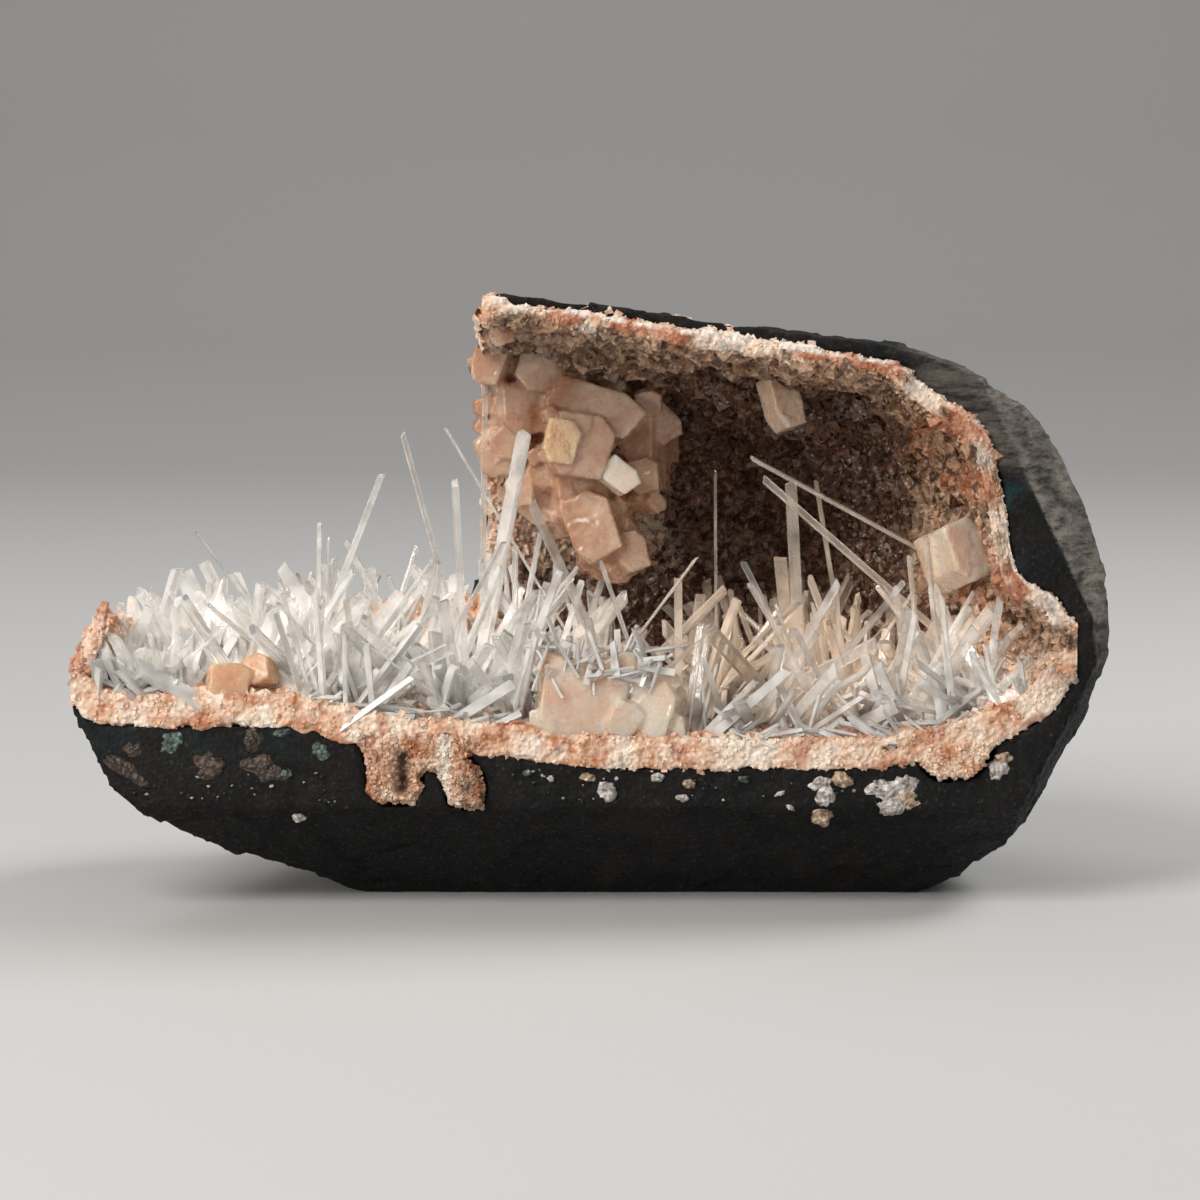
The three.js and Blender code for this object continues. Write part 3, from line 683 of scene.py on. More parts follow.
def crust_tones(points):
    """How tan, rusty and white the crust is at each point, and how much shade is painted on it in dark
    brown.
    """
    x, y, z = points.T
    cloud = layered_noise(points, 6.0, 3, 301)
    blotch = layered_noise(points, 15.0, 2, 333) - 0.5
    cave = soft_step(BREAK_X - 1.0, BREAK_X + 3.0, x)
    under = hollow_at(x, 2) - CEILING_SLOPE * y - z
    front = soft_step(1.2, 0.3, y)
    mottle = layered_noise(points, 2.6, 2, 351)
    past_front = np.maximum(soft_step(0.6, 1.6, y), soft_step(0.38, 0.52, mottle))
    ceiling = cave * soft_step(22.0, 8.0, under) * past_front * soft_step(0.4, 1.6, under)
    right_wall = soft_step(62.0, 68.0, x) * soft_step(44.0, 30.0, y) * soft_step(54.0, 62.0, z)
    by_blocks = soft_step(20.0, 10.0, x) * soft_step(56.0, 66.0, z)
    # Painted shade: darker brown the deeper into the hollow, less so on the ceiling near the front, on
    # the right wall and by the blocks
    deep = cave * soft_step(3.0, 27.0, y + 22.0 * blotch)
    deep = deep * (1.0 - 0.5 * ceiling * soft_step(26.0, 8.0, y)) * (1.0 - 0.9 * right_wall)
    deep = deep * (1.0 - 0.6 * by_blocks)
    # Painted shade in the small open holes
    deep = np.maximum(deep, soft_step(0.2, 1.0, hole_depth(points)) * 0.8)
    tan = np.clip(0.95 * ceiling + 0.4 * right_wall * soft_step(0.5, 2.0, y), 0.0, 1.0)
    roof_band = soft_step(0.5, 1.2, under) * soft_step(3.0, 2.0, under) * front * cave
    end_wall = soft_step(-93.0, -98.0, x) * soft_step(44.0, 47.0, z)
    rust = 0.8 * roof_band * soft_step(0.46, 0.60, cloud)
    rust = np.maximum(rust, 0.7 * end_wall * soft_step(0.35, 0.6, cloud))
    rust = np.maximum(rust, 0.6 * front * soft_step(0.57, 0.68, cloud))
    rust = np.maximum(rust, 0.5 * right_wall * soft_step(0.48, 0.62, cloud))
    roof_line = soft_step(1.2, 0.4, under) * front * cave * soft_step(0.40, 0.56, mottle)
    white = np.maximum(0.8 * roof_line, 0.4 * front * soft_step(0.42, 0.32, cloud))
    return {"tan": tan, "rust": rust, "white": white, "deep": np.clip(deep, 0.0, 1.0)}


def inner_section(x, count):
    """The free edge of the crust at one X, from the front of the floor to the front of the roof."""
    reach = (-ROOF_CRUST, 0.0, ROOF_CRUST)
    low = max(station(x + step, 1) for step in reach) + FLOOR_CRUST
    top = min(station(x + step, 2) for step in reach) - ROOF_CRUST
    inside = soft_step(-103.5, -98.0, x) * soft_step(97.0, 90.5, x)
    depth = min(station(x + step, 3) for step in reach) - BACK_CRUST
    depth = max(depth * inside, 0.01)
    high = max(top, low + 0.6)
    middle = low + (high - low) * DEEPEST_AT
    angle = np.linspace(0.0, math.pi, count)
    rise = -np.cos(angle)
    power = np.where(rise < 0, FLOOR_ROUNDING, ROOF_ROUNDING)
    reach_z = np.where(rise < 0, middle - low, high - middle)
    y = depth * np.abs(np.sin(angle)) ** power
    z = middle + np.sign(rise) * reach_z * np.abs(rise) ** power
    z = z - np.where(rise < 0, 0.0, CEILING_SLOPE * y * rise)
    return np.stack([y, z], axis=1), inside


def wiggle(x, seed, size, amount):
    spot = np.array([[x, 0.0, 0.0]])
    return amount * (layered_noise(spot, size, 3, seed)[0] - 0.5) * 2.0


def rim_height(x):
    end = END_WALL * float(soft_step(-91.0, -97.0, x))
    rise = float(np.interp(x, [-60.0, BREAK_X - 7.0], [1.5, 4.0])) + wiggle(x, 91, 5.0, 0.8)
    return CRUST_RIM + rise + end


def lining_path(x, open_tray):
    inner, inside = inner_section(x, SECTION_POINTS)
    low = station(x, 1) + wiggle(x, 5, 3.4, 0.8) - 0.3
    to_corner = float(soft_step(-13.0, -17.0, x) * soft_step(-23.0, -21.0, x))
    bare_top = float(soft_step(19.0, 24.0, x) * soft_step(48.0, 43.0, x))
    high = station(x, 2) + wiggle(x, 7, 3.0, 0.7) + 0.2 + 1.0 * to_corner + 0.5 * bare_top
    floor_edge = inner[0, 1] + wiggle(x, 15, 4.0, 0.9)
    roof_edge = inner[-1, 1] + wiggle(x, 21, 4.5, 1.0)
    band = np.array([
        [1.6, low - 0.6],
        [-PROUD * 0.4, low - 0.1],
        [-PROUD, low + 0.9],
        [-PROUD, (low + floor_edge) / 2],
        [-PROUD, floor_edge - 0.7],
        [-PROUD * 0.3, floor_edge],
    ])
    keep = inner[:, 0] > 0.25 if inside > 0.2 else np.ones(len(inner), bool)
    inner = inner[keep].copy()
    if inside <= 0.2:
        inner[:, 0] = -PROUD * 0.6
    if open_tray:
        rim = min(rim_height(x), station(x, 2) - 0.3)
        back = (np.arange(len(inner)) > len(inner) * 0.3) & (inner[:, 1] > rim)
        stop = int(np.argmax(back)) if back.any() else len(inner)
        inner = inner[:stop]
        last_y = inner[-1, 0]
        roof = np.array([
            [last_y + 0.4, rim],
            [last_y + BACK_CRUST * 0.5, rim + 0.5],
            [last_y + BACK_CRUST * 0.95, rim - 0.2],
            [last_y + BACK_CRUST + 0.9, rim - 3.0],
            [last_y + BACK_CRUST + 1.4, min(ROCK_RIM - 1.2, rim - 4.0)],
        ])
    else:
        roof = np.array([
            [-PROUD * 0.3, roof_edge],
            [-PROUD, roof_edge + 0.5],
            [-PROUD, max(high - 0.4, roof_edge + 0.8)],
            [-PROUD * 0.3, max(high, roof_edge + 1.0)],
            [1.4, max(high + 0.2, roof_edge + 1.2)],
        ])
    parts = (
        resample(band, np.linspace(0.0, 1.0, BAND_POINTS)),
        resample(inner, np.linspace(0.0, 1.0, INNER_POINTS)),
        resample(roof, np.linspace(0.0, 1.0, ROOF_POINTS)),
    )
    return np.concatenate(parts)


def lining_grid(first, last, open_tray):
    stops = np.arange(first, last + LINING_STEP / 2, LINING_STEP)
    rows = []
    for x in stops:
        path = lining_path(x, open_tray)
        rows.append(np.column_stack([np.full(len(path), x), path]))
    points = np.concatenate(rows)
    columns = BAND_POINTS + INNER_POINTS + ROOF_POINTS
    normals = grid_normals(points, len(stops), columns)
    column = np.tile(np.arange(columns), len(stops))
    share = np.clip((column - BAND_POINTS) / INNER_POINTS, 0.0, 1.0)
    overhead = soft_step(0.45, 0.75, share) * (0.0 if open_tray else 1.0)
    overhead = np.where(column >= BAND_POINTS + INNER_POINTS, 0.0, overhead)
    _, offset, _ = cell_noise(points, 1.9, 71)
    sugar = 0.5 - np.sqrt((offset ** 2).sum(axis=1))
    push = 0.75 * sugar + 0.5 * (smooth_noise(points, 0.9, 83) - 0.5)
    push += 1.4 * (layered_noise(points, 7.0, 2, 61) - 0.5) * np.where(points[:, 1] > 1.0, 1.0, 0.5)
    lumps = layered_noise(points, 8.5, 2, 44)
    push += overhead * 5.0 * (np.abs(lumps - 0.5) * 3.0 - 0.05) * soft_step(0.6, 5.0, points[:, 1])
    x, y, z = points.T
    wall = soft_step(62.0, 68.0, x) * soft_step(56.0, 62.0, z) * soft_step(1.0, 4.0, y)
    push += 0.8 * wall * np.sin(y * 1.5 + z * 0.08 + 4.0 * smooth_noise(points, 7.0, 97))
    points = points + normals * push[:, None]
    points[:, 1] += hole_depth(points)
    return points, normals, len(stops), columns


def broken_edge():
    """The crust's own broken edge where the roof and back wall end: a strip between its two faces."""
    inner, _ = inner_section(BREAK_X, EDGE_POINTS)
    inner = inner[inner[:, 0] > 0.2]
    start = int(np.argmax((inner[:, 1] > CRUST_RIM) & (np.arange(len(inner)) > 60)))
    inner = inner[start:]
    tangent = np.gradient(inner, axis=0)
    outward = np.stack([tangent[:, 1], -tangent[:, 0]], axis=1)
    outward /= np.linalg.norm(outward, axis=1, keepdims=True)
    thick = np.linspace(BACK_CRUST + 1.0, ROOF_CRUST + 0.8, len(inner))
    rows = []
    for share in np.arange(EDGE_ROWS) / (EDGE_ROWS - 1):
        edge = inner + outward * (share * thick)[:, None]
        bulge = -0.9 * math.sin(math.pi * share)
        rows.append(np.column_stack([np.full(len(edge), BREAK_X - 0.2 + bulge), edge]))
    points = np.concatenate(rows)
    points[:, 0] -= 1.6 * smooth_noise(points, 2.2, 19) + 0.6 * smooth_noise(points, 1.0, 23)
    return points, grid_faces(EDGE_ROWS, len(inner))


def make_crust_piece(name, points, faces, look, tones, smooth=True):
    piece = mesh_object(name, points, faces, smooth)
    for tone, values in tones.items():
        paint(piece, tone, values)
    finish_piece(piece, look)
    return piece


# Pockets below the floor, filled by the crust, as relief on the front section


def outline_distance(spots, outline):
    """Distance to a closed outline, nearest point on it, and whether each spot is inside."""
    best = np.full(len(spots), 1e9)
    nearest = spots.copy()
    inside = np.zeros(len(spots), bool)
    for a, b in zip(outline, np.roll(outline, -1, axis=0)):
        side = b - a
        share = np.clip(((spots - a) @ side) / (side @ side), 0.0, 1.0)
        on_side = a + share[:, None] * side
        distance = np.linalg.norm(spots - on_side, axis=1)
        closer = distance < best
        best[closer] = distance[closer]
        nearest[closer] = on_side[closer]
        crosses = (a[1] > spots[:, 1]) != (b[1] > spots[:, 1])
        rise = b[1] - a[1] if b[1] != a[1] else 1e-9
        inside ^= crosses & (spots[:, 0] < a[0] + (spots[:, 1] - a[1]) / rise * side[0])
    return best, nearest, inside


def pocket_relief(outline, seed):
    outline = np.array(outline, float)
    low, high = outline.min(axis=0) - RELIEF_STEP, outline.max(axis=0) + RELIEF_STEP
    across = np.arange(low[0], high[0] + RELIEF_STEP, RELIEF_STEP)
    upward = np.arange(low[1], high[1] + RELIEF_STEP, RELIEF_STEP)
    flat = np.stack(np.meshgrid(across, upward, indexing="ij"), axis=2).reshape(-1, 2)
    distance, nearest, inside = outline_distance(flat, outline)
    faces = grid_faces(len(across), len(upward))
    faces = faces[inside[faces].sum(axis=1) >= 2]
    flat = np.where(inside[:, None], flat, nearest)
    y = 1.6 - 2.5 * soft_step(-0.4, 0.8, np.where(inside, distance, 0.0))
    points = np.column_stack([flat[:, 0], y, flat[:, 1]])
    _, offset, _ = cell_noise(points, 1.5, seed)
    points[:, 1] -= 1.1 * (0.5 - np.sqrt((offset ** 2).sum(axis=1))) * soft_step(0.2, 1.0, distance)
    points[:, 1] -= 0.7 * (layered_noise(points, 2.4, 2, seed + 1) - 0.5) * soft_step(0.4, 1.4, distance)
    return points, faces


def pocket_grains(rng, name, points, tones, count, look):
    """Small grains on the front of a pocket."""
    chosen = rng.choice(len(points), count)
    chosen = chosen[points[chosen, 1] < 1.0]
    centres = points[chosen] + rng.uniform(-0.3, 0.3, (len(chosen), 3)) * (1.0, 0.3, 1.0)
    cloud, faces = grain_cloud(rng, centres, rng.uniform(0.35, 0.95, len(chosen)))
    spread = {tone: np.repeat(values[chosen], len(BOX_POINTS)) for tone, values in tones.items()}
    make_crust_piece(name, cloud, faces.tolist(), look, spread, smooth=False)


def make_left_pocket(rng, look):
    """Two lobes: a groove with painted shade in dark brown runs down the first, an olive bulb fills the
    right of the second.
    """
    points, faces = pocket_relief(LEFT_POCKET, 211)
    x, z = points[:, 0], points[:, 2]
    groove = np.exp(-((x + 37.9) / 1.6) ** 2) * soft_step(32.0, 29.0, z) * soft_step(20.6, 22.6, z)
    bulb = soft_step(-27.4, -25.6, x) * soft_step(30.0, 28.0, z)
    points[:, 1] += 2.6 * groove - 0.9 * bulb
    tones = crust_tones(points)
    # Painted shade in the groove
    tones["deep"] = np.maximum(groove, 0.0)
    tones["tan"] = np.maximum(0.9 * bulb, 0.2)
    left_side = soft_step(-41.0, -44.5, x) * soft_step(30.0, 22.0, z)
    tones["rust"] = np.maximum(tones["rust"], 0.8 * left_side)
    tones["white"] = 0.7 * soft_step(-27.4, -29.0, x) * soft_step(-31.5, -30.0, x)
    make_crust_piece("left_pocket", points, faces.tolist(), look, tones)
    pocket_grains(rng, "left_pocket_grains", points, tones, count=1500, look=look)


def make_right_pocket(rng, look):
    points, faces = pocket_relief(RIGHT_POCKET, 223)
    tones = crust_tones(points)
    make_crust_piece("right_pocket", points, faces.tolist(), look, tones)
    pocket_grains(rng, "right_pocket_grains", points, tones, count=400, look=look)


# Filled bubbles on the front of the rock


def bubble(x, z, half_width, half_height, tilt, seed):
    """A lumpy lens that sits in the rock's front."""
    rows, columns = 15, 25
    polar = np.linspace(0.02, math.pi - 0.02, rows)[:, None]
    round_about = np.linspace(0.0, 2 * math.pi, columns)[None]
    ball = np.stack([
        np.sin(polar) * np.cos(round_about), np.cos(polar) + 0.0 * round_about,
        np.sin(polar) * np.sin(round_about),
    ], axis=2).reshape(-1, 3)
    lumps = layered_noise(ball + seed, 0.9, 2, seed) - 0.5
    lumps += 0.6 * (smooth_noise(ball + seed, 0.35, seed + 5) - 0.5)
    ball = ball * (1.0 + 0.95 * lumps)[:, None]
    local = ball * np.array([half_width, 1.3, half_height])
    turn = math.radians(tilt)
    front = max(UNDERCUT_FROM - z, 0.0) * UNDERCUT_SLOPE
    placed = np.column_stack([
        x + local[:, 0] * math.cos(turn) - local[:, 2] * math.sin(turn),
        front + 0.75 + local[:, 1],
        z + local[:, 0] * math.sin(turn) + local[:, 2] * math.cos(turn),
    ])
    return placed, grid_faces(rows, columns)


def make_bubbles(rng):
    looks = {
        "brown": ((0.016, 0.010, 0.007), (0.060, 0.038, 0.026), (0.15, 0.10, 0.07)),
        "green": ((0.014, 0.020, 0.017), (0.075, 0.110, 0.092), (0.36, 0.52, 0.44)),
        "white": ((0.15, 0.13, 0.12), (0.55, 0.51, 0.47), (0.88, 0.86, 0.83)),
        "tan": ((0.12, 0.075, 0.045), (0.48, 0.35, 0.24), (0.78, 0.66, 0.52)),
    }
    for filling, tints in looks.items():
        shapes = [
            bubble(*place, seed) for seed, (*place, kind) in enumerate(BUBBLES) if kind == filling
        ]
        if filling in ("green", "white"):
            for _ in range(40):
                spot = (rng.uniform(-92.0, 60.0), rng.uniform(20.0, 27.0))
                size = rng.uniform(0.18, 0.5)
                if -49.0 < spot[0] < -20.0:
                    continue
                shapes.append(bubble(*spot, size, size * 0.7, 0.0, int(rng.integers(100, 900))))
        points, faces = join_shapes(shapes)
        piece = mesh_object("bubbles_" + filling, points, faces)
        finish_piece(piece, filling_material("filling_" + filling, *tints))


# Many small blocky grains on a surface

BOX_POINTS = np.array([
    [x, y, z] for x in (-0.5, 0.5) for y in (-0.5, 0.5) for z in (-0.5, 0.5)
])
BOX_FACES = np.array([
    [0, 1, 3, 2], [4, 6, 7, 5], [0, 4, 5, 1], [2, 3, 7, 6], [0, 2, 6, 4], [1, 5, 7, 3],
])


def random_turns(rng, count):
    q = rng.normal(size=(count, 4))
    q /= np.linalg.norm(q, axis=1, keepdims=True)
    w, x, y, z = q.T
    return np.stack([
        np.stack([1 - 2 * (y * y + z * z), 2 * (x * y - z * w), 2 * (x * z + y * w)], axis=1),
        np.stack([2 * (x * y + z * w), 1 - 2 * (x * x + z * z), 2 * (y * z - x * w)], axis=1),
        np.stack([2 * (x * z - y * w), 2 * (y * z + x * w), 1 - 2 * (x * x + y * y)], axis=1),
    ], axis=1)


def grain_cloud(rng, centres, sizes):
    count = len(centres)
    shape = sizes[:, None] * rng.uniform((0.75, 0.6, 0.9), (1.1, 0.95, 1.5), (count, 3))
    local = BOX_POINTS[None] * shape[:, None]
    turned = np.einsum("nij,npj->npi", random_turns(rng, count), local)
    points = (turned + centres[:, None]).reshape(-1, 3)
    faces = (BOX_FACES[None] + 8 * np.arange(count)[:, None, None]).reshape(-1, 4)
    return points, faces


def pick_spots(rng, grid, wanted, weight):
    """Random spots on a grid, spread by area and by a weight per point."""
    points, normals, rows, columns = grid
    p = points.reshape(rows, columns, 3)
    side = np.linalg.norm(np.cross(p[1:, :-1] - p[:-1, :-1], p[:-1, 1:] - p[:-1, :-1]), axis=2)
    w = weight.reshape(rows, columns)[:-1, :-1]
    chance = (side * w).ravel()
    chance /= chance.sum()
    chosen = rng.choice(len(chance), size=wanted, p=chance)
    row, column = chosen // (columns - 1), chosen % (columns - 1)
    a = rng.uniform(size=(wanted, 1))
    b = rng.uniform(size=(wanted, 1))
    spot = p[row, column]
    spot = spot + a * (p[row + 1, column] - p[row, column]) + b * (p[row, column + 1] - p[row, column])
    return spot, normals.reshape(rows, columns, 3)[row, column]


def make_grains(rng, tray, cave, look):
    shapes, tones = [], []
    for grid, share in ((tray, 0.18), (cave, 0.82)):
        points = grid[0]
        column = np.tile(np.arange(grid[3]), grid[2])
        inner = (column > BAND_POINTS) & (column < BAND_POINTS + INNER_POINTS)
        on_floor = (points[:, 2] < 42) & inner
        weight = np.where(on_floor, 0.2, 1.0) * np.where(inner, 1.0, 0.8)
        spots, normals = pick_spots(rng, grid, int(GRAIN_COUNT * share), weight)
        at_front = spots[:, 1] < 1.0
        overhead = crust_tones(spots)["tan"]
        sizes = rng.uniform(0.7, 2.0, len(spots)) * np.where(at_front, 0.45, 1.0 + 0.8 * overhead)
        centres = spots + normals * (sizes * 0.12)[:, None]
        shapes.append(grain_cloud(rng, centres, sizes))
        tones.append(crust_tones(centres))
    points, faces = join_shapes(shapes)
    merged = {}
    for tone in tones[0]:
        per_grain = np.concatenate([group[tone] for group in tones])
        # The painted shade varies a little from grain to grain
        lift = rng.uniform(-0.22, 0.34, len(per_grain)) if tone == "deep" else 0.0
        lift = lift * np.clip(2.0 * per_grain, 0.2, 1.0)
        merged[tone] = np.repeat(np.clip(per_grain + lift, 0.0, 1.0), len(BOX_POINTS))
    make_crust_piece("druse_grains", points, faces, look, merged, smooth=False)


# Needles


# Angles of a needle's corners: two broad faces and two narrow, bevelled ones
NEEDLE_SIDES = np.array([0.0, 0.48, 2.66, 3.14, 3.62, 5.80])


def needle_cloud(needles, rng):
    """Striated prisms with slanted tips. Each needle is root, tip, width and slant."""
    sides = len(NEEDLE_SIDES)
    points, faces, uvs, veils = [], [], [], []
    for root, tip, width, slant in needles:
        root = np.array(root, float)
        along = np.array(tip, float) - root
        length = np.linalg.norm(along)
        along = along / length
        helper = np.array([0.0, 0.0, 1.0]) if abs(along[2]) < 0.9 else np.array([1.0, 0.0, 0.0])
        u = np.cross(along, helper)
        u /= np.linalg.norm(u)
        v = np.cross(along, u)
        flat = rng.uniform(0.45, 1.1)
        angles = rng.uniform(0, math.pi) + NEEDLE_SIDES
        cut = rng.uniform(0.05, 0.2)
        heading = rng.uniform(0, 2 * math.pi)
        start = len(points)
        lean = np.cos(angles - heading) * slant * width / 2 - slant * width / 2
        rings = (
            (np.zeros(sides), 1.0),
            (length - width * cut + lean, 1.0),
            (length + lean, 0.93),
        )
        for reach, shrink in rings:
            out_u = np.cos(angles) * width / 2 * shrink
            out_v = np.sin(angles) * width / 2 * flat * shrink
            ring = root + reach[:, None] * along + out_u[:, None] * u + out_v[:, None] * v
            points.extend(ring)
        milk = rng.uniform()
        for share in (0.55 + 0.45 * milk, 0.75 * milk, 0.6 * milk):
            veils.extend([share] * sides)
        perimeter = np.linspace(0, width * 2.8, sides + 1)
        shift = rng.uniform(0, 100)
        for level in range(2):
            low = start + level * sides
            for side in range(sides):
                after = (side + 1) % sides
                faces.append([low + side, low + after, low + sides + after, low + sides + side])
                base, top = (0.0, length - width) if level == 0 else (length - width, length)
                left, right = perimeter[side] + shift, perimeter[side + 1] + shift
                uvs.extend([(left, base), (right, base), (right, top), (left, top)])
        cap = [start + 2 * sides + side for side in range(sides)]
        foot = [start + side for side in reversed(range(sides))]
        for ring in (cap, foot):
            faces.append(ring)
            uvs.extend([(shift + k, 0.0) for k in range(sides)])
    return np.array(points), faces, uvs, veils


def make_needles(name, needles, rng, look, casts_shadow):
    """One piece of many needles; clear ones let the light through to their neighbours."""
    points, faces, uvs, veils = needle_cloud(needles, rng)
    piece = mesh_object(name, points, faces, smooth=False)
    layer = piece.data.uv_layers.new(name="along")
    layer.data.foreach_set("uv", np.array(uvs).ravel())
    paint(piece, "veil", veils)
    # Painted shade: how deep in the hollow each needle lies, for its dimmer beige tint
    paint(piece, "warm", soft_step(-12.0, 24.0, points[:, 0]) * soft_step(4.0, 26.0, points[:, 1]))
    piece.visible_shadow = casts_shadow
    finish_piece(piece, look)


class Draws:
    """The same run of random numbers as the solids use."""

    def __init__(self, seed):
        self.state = seed

    def between(self, low, high):
        self.state = (self.state * 1664525 + 1013904223) % 4294967296
        return low + (high - low) * self.state / 4294967296


def placed_needles():
    needles = []
    for *ends, width in PLACED_NEEDLES:
        root, tip = np.array(ends, float).reshape(2, 3)
        foot = (root - tip) / np.linalg.norm(root - tip)
        floor = hollow_at(root[0], 1) + FOOT_HEIGHT
        sink = min((root[2] - floor) / max(-foot[2], 0.3), 40.0)
        needles.append((root + foot * max(sink, 0.0), tip, width, 0.5))
    return needles


def sprays(draws, count, size, lengths, widths, widest_lean, at_left_lengths, at_left_widths):
    """Needles that spread from shared feet on the floor."""
    needles = []
    for index in range(count):
        share = (index + draws.between(0, 1)) / count
        x = SPRAY_START + share * SPRAY_REACH
        y = draws.between(4, max(hollow_at(x, 3) - 14, 8))
        at_left = x < LEFT_PART
        across = draws.between(0, 2 * math.pi)
        for number in range(size):
            root = np.array([x + draws.between(-3, 3), y, hollow_at(x, 1) + FOOT_HEIGHT])
            heading = across + draws.between(-0.7, 0.7) + (number % 2) * math.pi
            lean = math.radians(draws.between(6, widest_lean))
            length = draws.between(*(at_left_lengths if at_left else lengths))
            width = draws.between(*(at_left_widths if at_left else widths))
            tip = root + length * np.array([
                math.sin(lean) * math.cos(heading),
                math.sin(lean) * math.sin(heading),
                math.cos(lean),
            ])
            tip[1] = max(tip[1], 1.0)
            needles.append((root, tip, width, draws.between(0.1, 0.9)))
    return needles


def thicket(rng, clusters, size, lengths, widths, leans, spread):
    """Crossing sprays of needles whose tips stay under the usual level."""
    needles = []
    for _ in range(clusters):
        x = rng.uniform(-97.0, -52.0) if rng.uniform() < 0.36 else rng.uniform(-52.0, 90.0)
        deepest = max(float(hollow_at(x, 3)) - 9.0, 3.0)
        y = rng.uniform(1.5, deepest)
        heading = rng.uniform(0, 2 * math.pi)
        lean = math.radians(rng.uniform(*leans))
        main = np.array([
            math.sin(lean) * math.cos(heading), math.sin(lean) * math.sin(heading), math.cos(lean),
        ])
        at_left = float(soft_step(-50.0, -70.0, x))
        for _ in range(rng.integers(*size)):
            foot = np.array([x, y, hollow_at(x, 1) + FOOT_HEIGHT])
            foot += rng.uniform(-1.0, 1.0, 3) * (2.5, 2.5, 1.5)
            along = main + rng.normal(0.0, spread, 3)
            along[2] = max(along[2], 0.1)
            along /= np.linalg.norm(along)
            level = float(np.interp(x, TIP_LEVELS[:, 0], TIP_LEVELS[:, 1]))
            room = level + rng.uniform(-9.0, 4.5) - foot[2]
            length = min(rng.uniform(*lengths) * (1.0 - 0.3 * at_left), room / along[2])
            width = rng.uniform(*widths) * (1.0 + 0.6 * at_left)
            tip = foot + length * along
            tip[1] = max(tip[1], 0.4)
            needles.append((foot, tip, width, rng.uniform(0.1, 0.9)))
    return needles


def lying_needle(rng, middle, heading, rises, halves):
    """A short needle about a middle point, kept close to the front section."""
    rise = rng.uniform(*rises)
    along = np.array([math.cos(heading) * math.cos(rise), math.sin(heading) * 0.4, math.sin(rise)])
    half = along * rng.uniform(*halves)
    start, end = middle - half, middle + half
    start[1], end[1] = max(start[1], -0.7), max(end[1], -0.7)
    return start, end, rng.uniform(0.9, 1.7), rng.uniform(0.1, 0.8)


def rim_needles(rng, count):
    """Short needles that lie across the front edge of the floor."""
    needles = []
    for _ in range(count):
        x = rng.uniform(-90.0, 84.0)
        edge = hollow_at(x, 1) + FLOOR_CRUST
        middle = np.array([x, rng.uniform(0.3, 3.5), edge + rng.uniform(-1.6, 1.8)])
        heading = rng.normal(0.0, 0.35) + (math.pi if rng.uniform() < 0.5 else 0.0)
        needles.append(lying_needle(rng, middle, heading, (-0.25, 0.7), (2.5, 6.5)))
    return needles


def block_needles(rng, count, low, high):
    """Short needles grown over the blocks at the front edge, between two corners of a space."""
    needles = []
    for _ in range(count):
        middle = rng.uniform(low, high)
        heading = rng.uniform(0, 2 * math.pi)
        needles.append(lying_needle(rng, middle, heading, (-0.2, 1.2), (3.0, 6.5)))
    return needles


def shortened(needles):
    """Needles that would run through the hollow's wall end at it instead."""
    shares = np.linspace(1.0, 0.2, 17)
    kept = []
    for root, tip, width, slant in needles:
        starts = root + (tip - root) * shares[::-1, None] - (tip - root) * shares[-1]
        root = starts[int(np.argmax(in_hollow(starts, 0.3)))]
        ends = root + (tip - root) * shares[:, None]
        free = in_hollow(ends, -3.0)
        if free.any():
            kept.append((root, ends[int(np.argmax(free))], width, slant))
    return kept


# The space in front of the blocks that stand at the front edge: low and high corner
BLOCK_VIEWS = [((-12.5, -5.0, 31.0), (19.0, 14.0, 43.5)), ((-79.0, -5.0, 40.0), (-63.5, 7.0, 48.5))]


def off_blocks(needles):
    """Only the needles that leave the blocks at the front edge in view."""
    shares = np.linspace(0.0, 1.0, 13)[:, None]
    kept = []
    for needle in needles:
        spots = needle[0] + (needle[1] - needle[0]) * shares
        hides = any(((spots > low) & (spots < high)).all(axis=1).any() for low, high in BLOCK_VIEWS)
        if not hides:
            kept.append(needle)
    return kept


# Blocky crystals

# Stray vertices are pulled back into the hollow in steps, each by a share of the way
PULL_STEPS = 30
PULL_SHARE = 0.04


def prism(at, size, roll, lean, turn):
    """A block with a six-sided, coffin-like outline."""
    across, tall, thick = size
    outline = np.array([
        (-across / 2, -tall * 0.2), (-across * 0.3, -tall / 2), (across * 0.34, -tall / 2),
        (across / 2, tall * 0.24), (across * 0.24, tall / 2), (-across * 0.4, tall / 2),
    ])
    sides = len(outline)
    local = np.concatenate([
        np.column_stack([outline, np.full(sides, -thick / 2)]),
        np.column_stack([outline, np.full(sides, thick / 2)]),
    ])
    faces = []
    for side in range(sides):
        after = (side + 1) % sides
        faces.append([side, after, after + sides])
        faces.append([side, after + sides, side + sides])
    for side in range(1, sides - 1):
        faces.append([0, side + 1, side])
        faces.append([sides, sides + side, sides + side + 1])
    facing = (
        Matrix.Rotation(math.radians(turn), 3, "Z")
        @ Matrix.Rotation(math.radians(lean), 3, "X")
        @ Matrix.Rotation(math.radians(roll), 3, "Z")
    )
    return local @ np.array(facing).T + np.array(at), faces


def cluster_fill(rng, count):
    """Smaller blocks that fill the cluster between the large ones."""
    blocks = []
    for _ in range(count):
        z = rng.uniform(63.0, 112.0)
        left = np.interp(z, [63, 72, 84, 112], [3, -8, -19, -20])
        right = np.interp(z, [63, 75, 95, 112], [9, 9, 15, 5])
        size = rng.uniform(3.0, 7.5)
        at = [rng.uniform(left, right), rng.uniform(34.0, 42.0), z]
        shape = [size * rng.uniform(0.8, 1.5), size, rng.uniform(9.0, 15.0)]
        blocks.append((at, shape, rng.uniform(-50, 50), rng.uniform(62, 100), rng.uniform(-35, 35)))
    return blocks


